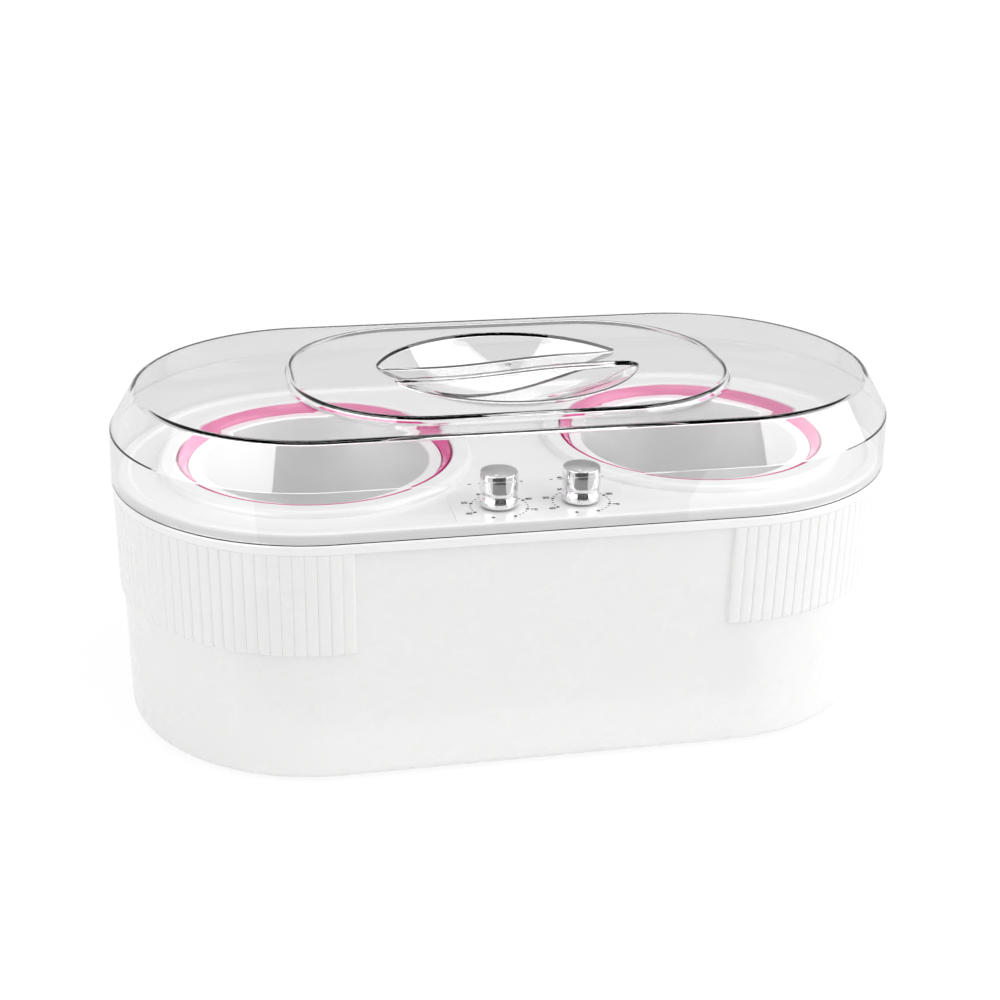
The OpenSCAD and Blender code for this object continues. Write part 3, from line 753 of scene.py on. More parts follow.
@dataclass(frozen=True)
class Finish:
    """A surface with fine grain, colour variation and its own gloss.

    Args:
        name: the material's name.
        tint: screen colour.
        rough: lowest and highest roughness.
        grain: how the pattern runs.
        fine: size of the fine grain, in metres.
        bump: depth of the fine grain, in metres.
        patch: size of the broad variation, in metres.
        shade: how much darker the dark patches are, as a share.
        metal: 1 for bare metal.
        coat: strength of a clear top coat.
        axis: |x| and y of the axis that turned grain runs round.
        glow: strength with which light passes into a plastic.
        clear: share of light that goes through.
        broad: the broad variation's share of the pattern, beside the fine grain's.
        drawn: how much drawn grain is stretched along X.
    """

    name: str
    tint: tuple[float, float, float]
    rough: Point
    grain: Grain = Grain.MOULDED
    fine: float = 0.0004
    bump: float = 0.00001
    patch: float = 0.03
    shade: float = 0.03
    metal: float = 0.0
    coat: float = 0.0
    axis: Point = (0.0, 0.0)
    glow: float = 0.0
    clear: float = 0.0
    broad: float = 0.7
    drawn: float = 0.04

    def places(self, desk: Desk) -> Socket:
        """Gives the coordinates that the fine grain is drawn in.

        Args:
            desk: the material's node tree.

        Returns:
            The coordinates.
        """
        x, y, z = desk.split(desk.here())
        if self.grain is Grain.TURNED:
            off = desk.minus(desk.sum("ABSOLUTE", x), self.axis[0])
            side = desk.minus(y, self.axis[1])
            x, y = desk.sum("SQRT", desk.plus(desk.times(off, off), desk.times(side, side))), 0.0
        if self.grain is Grain.DRAWN:
            x = desk.times(x, self.drawn)
        return desk.fit(desk.add("ShaderNodeCombineXYZ"), x, y, z).outputs[0]

    def material(self) -> bpy.types.Material:
        """Builds the material.

        Returns:
            The procedural material.
        """
        desk = Desk(self.name)
        patches = desk.noise(desk.here(), 1 / self.patch, 3.0)
        grain = desk.noise(self.places(desk), 1 / self.fine, 3.0)
        mixed = desk.plus(desk.times(patches, self.broad), desk.times(grain, 1 - self.broad))
        tint = colour(*self.tint)
        dark = tuple(c * (1 - self.shade) for c in tint[:3]) + (1.0,)
        bump = desk.add("ShaderNodeBump", Strength=1.0, Distance=self.bump, Height=grain)
        desk.show(desk.add(
            "ShaderNodeBsdfPrincipled", Metallic=self.metal, IOR=1.5, Transmission_Weight=self.clear,
            Base_Color=desk.blend(desk.spread(mixed, 0.0, 1.0), dark, tint),
            Roughness=desk.spread(mixed, *self.rough), Normal=bump.outputs[0],
            Coat_Weight=self.coat, Coat_Roughness=0.08,
            Subsurface_Weight=self.glow, Subsurface_Radius=(0.004, 0.003, 0.003), Subsurface_Scale=0.3,
        ))
        return desk.material


@dataclass(frozen=True)
class ClearPlastic:
    """The lid's clear plastic, which lets the lamps reach what it covers.

    Args:
        name: the material's name.
        tint: screen colour of the plastic.
        index: index of refraction.
        passing: share of the lamps' light that passes.
        ripples: waves of the moulding ripple in each metre.
        ripple_depth: depth of the ripple, in metres.
        hazes: patches of the haze in each metre.
        haze: highest roughness in the haze.
    """

    name: str = "clear_plastic"
    tint: tuple[float, float, float] = (0.985, 0.985, 0.985)
    index: float = 1.5
    passing: float = 0.99
    ripples: float = 45.0
    ripple_depth: float = 0.00004
    hazes: float = 900.0
    haze: float = 0.012

    def material(self) -> bpy.types.Material:
        """Builds the material.

        Returns:
            Refracting plastic with a faint moulding ripple.
        """
        desk = Desk(self.name)
        ripple = desk.noise(desk.here(), self.ripples, 2.0)
        haze = desk.noise(desk.here(), self.hazes, 2.0)
        bump = desk.add("ShaderNodeBump", Strength=0.25, Distance=self.ripple_depth, Height=ripple)
        clear = desk.add(
            "ShaderNodeBsdfPrincipled", IOR=self.index, Transmission_Weight=1.0,
            Base_Color=colour(*self.tint), Normal=bump.outputs[0],
            Roughness=desk.spread(haze, 0.0, self.haze),
        )
        window = desk.add("ShaderNodeBsdfTransparent", Color=(*[self.passing] * 3, 1.0))
        path = desk.add("ShaderNodeLightPath")
        lighting = desk.sum("MAXIMUM", path.outputs["Is Shadow Ray"], path.outputs["Is Diffuse Ray"])
        desk.show_mixed(lighting, clear, window)
        return desk.material


WHITE_PLASTIC = Finish(
    "white_plastic", (0.95, 0.95, 0.948), (0.24, 0.3), bump=0.000003, coat=0.25, shade=0.008)
DECK_PLASTIC = Finish(
    "deck_plastic", (0.965, 0.965, 0.965), (0.22, 0.28), bump=0.000003, coat=0.3, shade=0.008)
# Painted shade: a darker copy of the deck's white for its upright step, standing in for the shade under the
# lid's skirt
DECK_STEP_SHADE = Finish("deck_step_painted_shade", (0.875, 0.875, 0.877), (0.26, 0.34), bump=0.000003, shade=0.01)
PINK_PLASTIC = Finish(
    "pink_plastic", (0.9, 0.28, 0.6), (0.2, 0.3), bump=0.000003, coat=0.3, shade=0.06, glow=0.1)
POT_METAL = Finish(
    "pot_aluminium", (0.95, 0.95, 0.95), (0.5, 0.62), fine=0.0005, bump=0.00002, patch=0.006, shade=0.06,
    metal=1.0)
WELL_METAL = Finish(
    "well_aluminium", (0.72, 0.72, 0.73), (0.38, 0.52), Grain.TURNED, fine=0.0009, bump=0.00002,
    patch=0.02, shade=0.12, metal=1.0, axis=(0.0918, 0.0))
CHROME = Finish("knob_chrome", (0.93, 0.93, 0.935), (0.05, 0.09), fine=0.0005, bump=0.0000006, metal=1.0)
SATIN_METAL = Finish(
    "knob_satin", (0.72, 0.72, 0.725), (0.28, 0.4), Grain.TURNED, fine=0.0002, bump=0.000006,
    patch=0.004, shade=0.08, metal=1.0, axis=(0.0185, -0.072))
STEEL = Finish(
    "zinc_steel", (0.68, 0.69, 0.71), (0.3, 0.45), Grain.CLOUDED, patch=0.004, shade=0.14, metal=1.0)
BRASS = Finish(
    "inlet_brass", (0.86, 0.78, 0.55), (0.18, 0.3), Grain.DRAWN, patch=0.005, shade=0.1, metal=1.0)
HEATER_FOIL = Finish(
    "heater_mica", (0.62, 0.5, 0.28), (0.4, 0.6), Grain.TURNED, fine=0.001, bump=0.00003, patch=0.01,
    shade=0.25, axis=(0.0918, 0.0))
BLACK_PLASTIC = Finish("black_plastic", (0.12, 0.12, 0.125), (0.35, 0.5), fine=0.0003, shade=0.2)
RUBBER = Finish(
    "foot_rubber", (0.17, 0.17, 0.17), (0.62, 0.8), fine=0.0003, bump=0.00002, shade=0.25, patch=0.006)
CERAMIC = Finish("block_ceramic", (0.86, 0.83, 0.76), (0.4, 0.55), fine=0.0005, bump=0.00002, shade=0.1)
PRINT_INK = Finish(
    "print_ink", (0.06, 0.06, 0.065), (0.4, 0.55), fine=0.0002, bump=0.000003, shade=0.15, patch=0.003)
LENS_SMOKE = Finish(
    "lens_smoke", (0.36, 0.34, 0.34), (0.1, 0.2), bump=0.000002, shade=0.1, patch=0.002, clear=0.3)
POINTER_PAINT = Finish(
    "pointer_white", (0.93, 0.93, 0.92), (0.3, 0.4), fine=0.0002, bump=0.000004, patch=0.002)
BROWN_LEAD = Finish("brown_lead", (0.42, 0.26, 0.16), (0.35, 0.5), fine=0.0005, shade=0.15)
RED_LEAD = Finish("red_lead", (0.68, 0.16, 0.14), (0.35, 0.5), fine=0.0005, shade=0.15)
BLUE_LEAD = Finish("blue_lead", (0.14, 0.22, 0.5), (0.35, 0.5), fine=0.0005, shade=0.15)


class Wardrobe:
    """Builds each finish's material once and dresses pieces in it."""

    def __init__(self) -> None:
        """Starts with nothing built."""
        self.made: dict[str, bpy.types.Material] = {}

    def get(self, finish: Finish | ClearPlastic) -> bpy.types.Material:
        """Gives the material of a finish, and builds it the first time.

        Args:
            finish: the finish.

        Returns:
            Its material.
        """
        if finish.name not in self.made:
            self.made[finish.name] = finish.material()
        return self.made[finish.name]

    def dress(self, piece: Piece, *finishes: Finish | ClearPlastic) -> None:
        """Gives a piece its finishes in place of what it has.

        Args:
            piece: the piece.
            finishes: the finishes, of which the first one covers it.
        """
        piece.data.materials.clear()
        for finish in finishes:
            piece.data.materials.append(self.get(finish))


@dataclass
class Assembly:
    """A group of pieces that are built together.

    Args:
        plan: the places that all the assemblies share.
        wardrobe: gives the pieces their materials.
    """

    plan: Plan
    wardrobe: Wardrobe

    def dress(self, piece: Piece, *finishes: Finish | ClearPlastic, angle: float = 32) -> None:
        """Shades a piece smooth up to an angle and gives it its finishes."""
        Bench.soften(piece, angle)
        self.wardrobe.dress(piece, *finishes)

    def well(self, side: Side) -> Point:
        """Gives the axis of one side's well."""
        return side.value * self.plan.half_straight, 0.0


def settle(piece: Piece, body: str, slot: str, *nodes: str) -> None:
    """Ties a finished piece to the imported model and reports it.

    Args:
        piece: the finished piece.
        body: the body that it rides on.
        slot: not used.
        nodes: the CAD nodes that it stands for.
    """
    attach(piece, body)
    if nodes:
        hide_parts(*nodes)
    LOG.info("%s: %d faces on %s", piece.name, len(piece.data.polygons), body)


# Casing


@dataclass
class Casing(Assembly):
    """The outer casing with its ribbed bands, vents, screw wells and feet."""

    wall: float = 0.0025
    base_round: float = 0.004
    rib_h: float = 0.0484
    rib_lead: float = 0.0073
    rib_count: int = 58
    rib_proud: float = 0.0017
    rib_root: float = 0.0012
    rib_end: float = 0.0022
    rib_sunk: float = 0.0009
    rib_overlap: float = 1.004
    tower_r: float = 0.005
    tower_top: float = 0.064
    tower_sunk: float = 0.0006
    seat_z: float = 0.058
    head_r: float = 0.0037
    head_room: float = 0.0003
    shank_r: float = 0.0022
    foot_r: float = 0.008
    foot_dish: float = 0.0004
    foot_inset: float = 0.0013
    foot_room: float = 0.0003
    vent_w: float = 0.003
    vent_l: float = 0.044
    vent_pitch: float = 0.008
    vents_beside: int = 3
    inlet_half: Point = (0.01185, 0.00755)

    def build(self) -> None:
        """Builds the casing's pieces."""
        self.shell()
        for side in Side:
            self.rib_band(side)
        self.feet()

    def tower_spots(self) -> list[Point]:
        """Gives the places of the screw wells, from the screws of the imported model.

        Returns:
            Their x and y.
        """
        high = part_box("casing_screws")[1]
        head = self.head_r - self.head_room
        end_x, side_y = high.x - head, high.y - head
        return [(end_x, 0), (-end_x, 0), *both_ways(self.plan.half_straight / 2, side_y)]

    def foot_spots(self) -> list[Point]:
        """Gives the places of the feet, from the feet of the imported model."""
        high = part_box("rubber_feet")[1]
        return both_ways(high.x - self.foot_r, high.y - self.foot_r)

    def shell(self) -> None:
        """Builds the casing's wall and floor and cuts its openings."""
        r, low, top = self.plan.casing_r, self.plan.casing_low, self.plan.casing_top
        inner, floor = r - self.wall, low + self.wall
        section = rounded(
            [(0, low), (r, low), (r, top), (inner, top), (inner, floor), (0, floor)],
            {1: self.base_round, 4: self.base_round - self.wall / 2}, 8,
        )
        piece = Bench.carry("casing_shell", section, (self.plan.half_straight, 0))
        start = floor - self.tower_sunk
        height = self.tower_top - start
        towers = [Bench.rod((x, y, start), self.tower_r, height) for x, y in self.tower_spots()]
        Bench.trim(piece, towers, "UNION")
        Bench.trim(piece, self.cutters(), "DIFFERENCE")
        Bench.weld(piece)
        self.dress(piece, WHITE_PLASTIC)
        settle(piece, BODY, "casing", "outer_casing")

    def cutters(self) -> list[Piece]:
        """Makes the solids that open the screw wells, vents, foot seats and inlet.

        Returns:
            The solids.
        """
        low, floor = self.plan.casing_low, self.plan.casing_low + self.wall
        under = low - CUT
        shank_low = self.seat_z - CUT / 2
        tools = []
        for x, y in self.tower_spots():
            tools.append(Bench.rod((x, y, under), self.head_r, self.seat_z - under))
            tools.append(Bench.rod((x, y, shank_low), self.shank_r, self.tower_top - self.seat_z + 2 * CUT))
        seat_r, seat_top = self.foot_r + self.foot_room, low + self.foot_inset
        for x, y in self.foot_spots():
            tools.append(Bench.rod((x, y, under), seat_r, seat_top - under))
        w, h = self.vent_w / 2, self.vent_l / 2
        for side in Side:
            for step in range(-self.vents_beside, self.vents_beside + 1):
                x = self.well(side)[0] + step * self.vent_pitch
                tools.append(Bench.block((x - w, -h, under), (x + w, h, floor + CUT)))
        inlet_low, inlet_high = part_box("power_inlet")
        middle = (inlet_low.z + inlet_high.z) / 2
        w, h = self.inlet_half
        wall = self.plan.casing_r
        tools.append(Bench.block((-w, wall - self.wall - CUT, middle - h), (w, wall + CUT, middle + h)))
        return tools

    def pitch(self) -> float:
        """Gives the distance from one rib to the next."""
        return (2 * self.rib_lead + math.pi * self.plan.casing_r) / self.rib_count

    def rib(self) -> Piece:
        """Builds one rib at the front, from the top edge down to its rounded end.

        Returns:
            The rib.
        """
        wall, top = self.plan.casing_r, self.plan.casing_top
        wide, depth = self.pitch() * self.rib_overlap, self.rib_proud - self.rib_root
        flank = [(-0.5, 0.0), (-0.46, 0.4), (-0.4, 0.68), (-0.3, 0.88), (-0.15, 0.98)]
        crown = [*flank, (0.0, 1.0), *[(-u, v) for u, v in reversed(flank)]]
        points = [Vector((u * wide, -wall - self.rib_root - v * depth, top)) for u, v in crown]
        points += [Vector((u * wide, self.rib_sunk - wall, top)) for u in (0.5, -0.5)]
        piece = Bench.sheet("rib", points)
        with Bench.editing(piece, "EDGE"):
            Bench.pull(0, 0, self.rib_end - self.rib_h)
            self.round_off(-wall)
        Bench.weld(piece)
        return piece

    def round_off(self, y: float, least: float = 0.12, narrow: float = 0.6) -> None:
        """Extrudes a rib's open end down to a rounded tip, in edit mode.

        Args:
            y: the place along Y that the end shrinks to.
            least: the share of its depth that is left at the tip.
            narrow: the share of its width that doesn't shrink.
        """
        done, wide_done, deep_done = 0.0, 1.0, 1.0
        for share in (0.28, 0.52, 0.72, 0.88, 0.97, 1.0):
            deep = max(least, math.sqrt(1 - share * share))
            wide = narrow + (1 - narrow) * deep
            Bench.pull(0, 0, -(share - done) * self.rib_end)
            size = (wide / wide_done, deep / deep_done, 1)
            bpy.ops.transform.resize(value=size, center_override=(0, y, 0))
            done, wide_done, deep_done = share, wide, deep

    def rib_band(self, side: Side) -> None:
        """Copies the rib round one end.

        Args:
            side: the end.
        """
        around = math.pi * self.plan.casing_r
        first = self.rib()
        ribs = []
        for number in range(self.rib_count):
            along = (number + 0.5) * self.pitch() - self.rib_lead
            turn = min(max(along / around, 0.0), 1.0) * math.pi
            piece = Bench.copy(first, f"rib_{number}")
            Bench.shift(piece, (along - turn * self.plan.casing_r, 0, 0))
            Bench.swing(piece, turn)
            Bench.shift(piece, (self.plan.half_straight, 0, 0))
            if side is Side.LEFT:
                Bench.swing(piece, math.pi)
            ribs.append(piece)
        bpy.data.objects.remove(first)
        band = Bench.join(ribs, f"{side.label}_rib_band")
        self.dress(band, WHITE_PLASTIC, angle=40)
        settle(band, BODY, "casing")

    def feet(self) -> None:
        """Builds the four rubber feet."""
        top, r, dish = self.plan.casing_low + self.foot_inset, self.foot_r, self.foot_dish
        section = [(0, dish), (r * 0.45, dish), (r * 0.5, 0), (r, 0), (r, top), (0, top)]
        first = Bench.turn("foot", rounded(section, {2: 0.0003, 3: 0.0007}, 3), steps=48)
        for number, (x, y) in enumerate(self.foot_spots()):
            piece = Bench.copy(first, f"foot_pad_{number + 1}")
            Bench.shift(piece, (x, y, 0))
            self.dress(piece, RUBBER)
            settle(piece, BODY, "foot_rubber", *(["rubber_feet"] if number == 0 else []))
        bpy.data.objects.remove(first)


# Deck


@dataclass
class Deck(Assembly):
    """The top deck with its two collars, the control pad, its print and its lamps."""

    rim_top: float = 0.1175
    rim_break: float = 0.0003
    border_top: float = 0.1223
    field_z: float = 0.1212
    under_z: float = 0.1187
    pad_z: float = 0.122
    step_r: float = 0.0916
    border_in: float = 0.0866
    field_r: float = 0.0851
    # Outer and inner radius of the skirt inside the casing
    skirt: Point = (0.0893, 0.0873)
    skirt_low: float = 0.107
    bore_r: float = 0.0643
    seat_r: float = 0.0688
    seat_z: float = 0.1204
    crest_r: float = 0.071
    collar_r: float = 0.0734
    # Flat strips beside the edge and the collars, above and below, that the fills join
    field_margins: Point = (0.0008, 0.0016)
    under_margins: Point = (0.002, 0.0012)
    # How far inside the step's radius the faces with painted shade begin
    step_shade_margin: float = 0.0004
    pad_half: float = 0.0395
    pad_back: float = -0.049
    pad_front: float = -0.0872
    pad_slant: float = 0.009
    pad_corner: float = 0.006
    pad_sunk: float = 0.0008
    pad_round: float = 0.0006
    # Radius of a pilot lamp under the deck and in its hole
    lamp_r: Point = (0.0032, 0.0013)
    lens_r: float = 0.0007
    lens_h: float = 0.0002

    def build(self) -> None:
        """Builds the deck's pieces."""
        self.plate()
        self.pad()
        DialPrint(self.plan, self.wardrobe, self.pad_z).build()
        for side in Side:
            self.lamp(side)

    def edge_section(self) -> list[Point]:
        """Gives the section of the deck's edge, from its field to its underside.

        Returns:
            Distance from a well's axis and height of each point.
        """
        top, rim, soft = self.plan.casing_top, self.plan.rim_r, self.rim_break
        outside, inside = self.skirt
        edge = rounded(
            [(self.field_r, self.field_z), (self.border_in, self.border_top), (self.step_r, self.border_top),
             (self.step_r, self.rim_top), (rim, self.rim_top), (rim, top + soft), (rim - soft, top),
             (outside, top), (outside, self.skirt_low), (inside, self.skirt_low), (inside, self.under_z),
             (inside - self.under_margins[0], self.under_z)],
            {1: 0.0012, 2: 0.0018, 3: 0.0004, 4: 0.0009}, 6,
        )
        return [(self.field_r - self.field_margins[0], self.field_z), *edge]

    def collar_section(self) -> list[Point]:
        """Gives the section of a collar, from the deck's underside over its crest to the field.

        Returns:
            Radius and height of each point.
        """
        high = self.plan.collar_top
        run, rise = self.collar_r - self.crest_r, high - self.field_z
        section = [
            (self.seat_r + self.under_margins[1], self.under_z), (self.seat_r, self.under_z),
            (self.seat_r, self.seat_z), (self.bore_r, self.seat_z), (self.bore_r, high),
            *bow((self.crest_r, self.field_z), (run, rise), range(0, 91, 10)),
            (self.collar_r + self.field_margins[1], self.field_z),
        ]
        return rounded(section, {4: 0.0013, len(section) - 2: 0.0009}, 5)

    def plate(self) -> None:
        """Builds the deck's edge, field and collars as one closed piece, with painted shade on the upright
        step under the lid's skirt.
        """
        edge = Bench.carry("deck_plate", self.edge_section(), self.well(Side.RIGHT), 48)
        section = self.collar_section()
        collars = [Bench.turn(f"{side.label}_collar", section, self.well(side), 128) for side in Side]
        piece = Bench.join([edge, *collars], "deck_plate")
        Bench.fill(piece, self.field_z)
        Bench.fill(piece, self.under_z)
        Bench.weld(piece)
        self.dress(piece, DECK_PLASTIC, DECK_STEP_SHADE)
        # Paints shade on the upright step faces under the lid's skirt with the darker second finish
        for face in piece.data.polygons:
            x, y, z = face.center
            out = math.hypot(max(abs(x) - self.plan.half_straight, 0.0), y)
            if out > self.step_r - self.step_shade_margin and self.rim_top < z < self.border_top:
                face.material_index = 1
        settle(piece, BODY, "deck", "top_deck")

    def pad(self) -> None:
        """Builds the raised pad under the knobs."""
        w, front, back, slant = self.pad_half, self.pad_front, self.pad_back, self.pad_slant
        low = self.field_z - self.pad_sunk
        half = [(w, front), (w, back - slant), (w - slant, back)]
        corners = [*half, *[(-x, y) for x, y in reversed(half)]]
        outline = rounded(corners, {number: self.pad_corner for number in (1, 2, 3, 4)}, 6)
        piece = Bench.sheet("control_pad", [Vector((x, y, low)) for x, y in outline])
        with Bench.editing(piece, "EDGE"):
            Bench.pull(0, 0, self.pad_z - low)
            Bench.pick(piece, lambda p: abs(p.z - self.pad_z) < TINY)
            bpy.ops.mesh.bevel(offset=self.pad_round, segments=4, affect="EDGES")
        Bench.weld(piece)
        self.dress(piece, DECK_PLASTIC, angle=50)
        settle(piece, BODY, "deck")

    def lamp(self, side: Side) -> None:
        """Builds a pilot lamp with its domed lens.

        Args:
            side: the lamp's side.
        """
        low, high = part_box("right_pilot_lamp")
        foot, neck = self.lamp_r
        section = rounded(
            [(0, low.z), (foot, low.z), (foot, self.under_z), (neck, self.under_z),
             (neck, high.z - self.lens_h), (self.lens_r, high.z), (0, high.z)],
            {1: 0.0004, 2: 0.0004, 4: 0.0003, 5: 0.0003}, 3,
        )
        centre = (side.value * self.plan.lamp_x, self.plan.lamp_y)
        piece = Bench.turn(f"{side.label}_lamp_lens", section, centre, 40)
        self.dress(piece, LENS_SMOKE)
        settle(piece, BODY, "lamp_lens", f"{side.label}_pilot_lamp")


@dataclass
class DialPrint(Assembly):
    """The dots and plain numbers printed round both knobs.

    Args:
        pad_z: height of the pad that they are printed on.
    """

    pad_z: float
    ink: float = 0.00004
    forward: float = 0.001
    dot_ring: float = 0.0127
    number_ring: float = 0.0157
    big_dot: float = 0.00085
    small_dot: float = 0.00045
    dot_top: float = 0.94
    number_h: float = 0.0022
    number_size: float = 1.35
    number_bold: float = 0.00011
    lowest: int = 30
    rise: int = 10
    first_angle: float = -112.5
    step_angle: float = 45.0
    steps: int = 8
    parts: int = 4

    def build(self) -> None:
        """Builds the print of both dials as one piece."""
        marks = []
        for side in Side:
            centre = (side.value * self.plan.knob_x, self.plan.knob_y - self.forward)
            for step in range(self.steps):
                angle = self.first_angle - step * self.step_angle
                marks.append(self.dot(centre, angle, self.big_dot))
                if 0 < step < self.steps - 1:
                    marks.append(self.number(centre, angle, str(self.lowest + self.rise * step)))
                    for part in range(1, self.parts):
                        small = angle - part * self.step_angle / self.parts
                        marks.append(self.dot(centre, small, self.small_dot))
        piece = Bench.join(marks, "dial_print")
        self.wardrobe.dress(piece, PRINT_INK)
        settle(piece, BODY, "pointer")

    def spot(self, centre: Point, angle: float, ring: float) -> Point:
        """Gives the place at an angle on a ring round a dial's centre."""
        turn = math.radians(angle)
        return centre[0] + ring * math.cos(turn), centre[1] + ring * math.sin(turn)

    def dot(self, centre: Point, angle: float, radius: float) -> Piece:
        """Prints one round dot with a soft edge.

        Args:
            centre: the dial's centre.
            angle: the dot's place round it, in degrees.
            radius: the dot's radius.

        Returns:
            The dot.
        """
        x, y = self.spot(centre, angle, self.dot_ring)
        Bench.clear()
        bpy.ops.mesh.primitive_circle_add(
            vertices=16, radius=radius, fill_type="NGON", location=(x, y, self.pad_z))
        piece = Bench.bake_place(bpy.context.object)
        with Bench.editing(piece, "FACE"):
            Bench.pull(0, 0, self.ink)
            bpy.ops.transform.resize(value=(self.dot_top, self.dot_top, 1), center_override=(x, y, 0))
        return piece

    def number(self, centre: Point, angle: float, text: str) -> Piece:
        """Prints one plain number.

        Args:
            centre: the dial's centre.
            angle: the number's place round it, in degrees.
            text: the number.

        Returns:
            The number.
        """
        x, y = self.spot(centre, angle, self.number_ring)
        Bench.clear()
        bpy.ops.object.text_add(location=(x, y, self.pad_z + self.ink / 2))
        letters = bpy.context.object.data
        letters.body = text
        letters.size = self.number_h * self.number_size
        letters.extrude = self.ink / 2
        letters.offset = self.number_bold
        letters.align_x = "CENTER"
        letters.align_y = "CENTER"
        bpy.ops.object.convert(target="MESH")
        return Bench.bake_place(bpy.context.object)


# Wells


@dataclass
class Wells(Assembly):
    """The coloured trim rings and the lift-out pots."""

    pot_in: float = 0.0532
    pot_wall: float = 0.001
    pot_taper: float = 0.0015
    lip_t: float = 0.0014
    pot_round: float = 0.005
    pot_face: float = 0.009
    ring_in: float = 0.0596
    ring_low: float = 0.1201
    ring_r: float = 0.0635
    ring_top: float = 0.1241
    ring_crown: float = 0.0004
    ring_break: float = 0.0002
    foot_r: float = 0.0684
    foot_low: float = 0.1185
    foot_top: float = 0.1203

    def build(self) -> None:
        """Builds both sides."""
        for side in Side:
            self.ring(side)
            self.pot(side)

    def ring(self, side: Side) -> None:
        """Builds a coloured ring with its crowned slope.

        Args:
            side: the ring's side.
        """
        run, rise = self.ring_r - self.ring_in, self.ring_top - self.ring_low
        slope = [
            (self.ring_in + run * t, self.ring_low + rise * t + self.ring_crown * math.sin(math.pi * t))
            for t in (0.0, 0.17, 0.34, 0.5, 0.67, 0.84)
        ]
        section = [
            *slope, (self.ring_r - self.ring_break, self.ring_top), (self.ring_r, self.foot_top),
            (self.foot_r, self.foot_top), (self.foot_r, self.foot_low), (self.ring_in, self.foot_low),
        ]
        section = rounded(section, {len(slope): 0.0006}, 4)
        piece = Bench.turn(f"{side.label}_trim_ring", [*section, section[0]], self.well(side), 128)
        self.dress(piece, PINK_PLASTIC, angle=40)
        settle(piece, BODY, "well_ring", f"{side.label}_well_ring")

    def pot(self, side: Side) -> None:
        """Builds a spun pot with its flat rim.

        Args:
            side: the pot's side.
        """
        low, top, lip = self.plan.pot_low, self.plan.pot_top, self.plan.pot_lip_r
        under, floor = top - self.lip_t, low + self.pot_wall
        floor_r = self.pot_in - self.pot_taper
        section = rounded(
            [(0, low), (floor_r + self.pot_wall, low), (self.pot_in + self.pot_wall, under), (lip, under),
             (lip, top), (self.pot_in, top), (floor_r, floor), (0, floor)],
            {1: self.pot_round + self.pot_wall, 2: 0.0004, 3: 0.0004, 4: 0.0005, 5: 0.0009,
             6: self.pot_round},
            6,
        )
        piece = Bench.turn(f"{side.label}_pot_bowl", divided(section, self.pot_face), self.well(side), 128)
        self.dress(piece, POT_METAL, angle=40)
        settle(piece, f"{side.label}_pot", "wax_pot", f"{side.label}_wax_pot")


# Knobs


@dataclass
class Knobs(Assembly):
    """The two turned knobs with bright sides and satin domed tops."""

    skirt_r: float = 0.0086
    skirt_h: float = 0.0024
    foot_r: float = 0.0079
    waist_r: float = 0.0079
    waist_h: float = 0.0056
    neck_h: float = 0.0018
    neck_room: float = 0.0008
    top_r: float = 0.0085
    side_h: float = 0.0149
    dome: float = 0.0006
    edge: float = 0.0002
    # How far the edge leans in, at these depths under the top
    shoulder: tuple[Point, ...] = ((0.0003, 0.0006), (0.00015, 0.0014), (0.00005, 0.0022), (0.0, 0.003))
    room_r: float = 0.0065
    room_h: float = 0.0025
    bore_r: float = 0.00305
    bore_h: float = 0.01095
    satin_level: float = 0.9
    satin_margin: float = 0.00004

    def build(self) -> None:
        """Builds both knobs."""
        for side in Side:
            self.knob(side)

    def cap(self, top: float) -> list[Point]:
        """Gives the section of the domed top, its edge and its shoulder.

        Args:
            top: height of the dome's middle.

        Returns:
            Radius and height of each point.
        """
        rim = self.top_r - self.shoulder[0][0] - self.edge
        ball = (rim * rim + self.dome * self.dome) / (2 * self.dome)
        middle = top - (ball - self.dome)
        dome = [
            (rim * t, middle + math.sqrt(ball * ball - (rim * t) ** 2))
            for t in (0.0, 0.15, 0.3, 0.45, 0.6, 0.75, 0.88, 0.96)
        ]
        edge = bow((rim, top - self.edge), (self.edge, self.edge), (12, 35, 60, 90))
        return [*dome, *edge, *[(self.top_r - lean, top - fall) for lean, fall in self.shoulder]]

    def section(self) -> list[Point]:
        """Gives the knob's section from the top of its dome to the end of its bore.

        Returns:
            Radius and height of each point.
        """
        low, waist_z = self.plan.knob_low, self.plan.knob_low + self.waist_h
        middle, swing = (self.skirt_r + self.waist_r) / 2, (self.skirt_r - self.waist_r) / 2
        neck = (self.top_r + self.waist_r) / 2
        throat = [(self.top_r, waist_z + self.neck_h + self.neck_room)]
        throat += [
            (neck + (self.top_r - neck) * math.cos(math.pi * t), waist_z + self.neck_h * (1 - t))
            for t in (0.0, 0.2, 0.4, 0.6, 0.8)
        ]
        waist = [
            (middle - swing * math.cos(math.pi * t), waist_z + (self.skirt_h - self.waist_h) * t)
            for t in (0.0, 0.15, 0.3, 0.45, 0.6, 0.75, 0.9, 1.0)
        ]
        skirt = bow(
            (self.foot_r, low + self.skirt_h), (self.skirt_r - self.foot_r, self.skirt_h),
            (105, 125, 145, 165, 180),
        )
        under = [(self.room_r, low), (self.room_r, low + self.room_h), (self.bore_r, low + self.room_h),
                 (self.bore_r, low + self.bore_h), (0, low + self.bore_h)]
        return [*self.cap(low + self.side_h), *throat, *waist, *skirt, *under]

    def knob(self, side: Side) -> None:
        """Turns one knob.

        Args:
            side: the knob's side.
        """
        centre = (side.value * self.plan.knob_x, self.plan.knob_y)
        piece = Bench.turn(f"{side.label}_knob_cap", self.section(), centre)
        self.dress(piece, CHROME, SATIN_METAL, angle=35)
        satin = self.plan.knob_low + self.side_h - self.satin_margin
        for face in piece.data.polygons:
            if face.center.z > satin and face.normal.z > self.satin_level:
                face.material_index = 1
        settle(piece, f"{side.label}_knob", "knob", f"{side.label}_knob")


# Lid


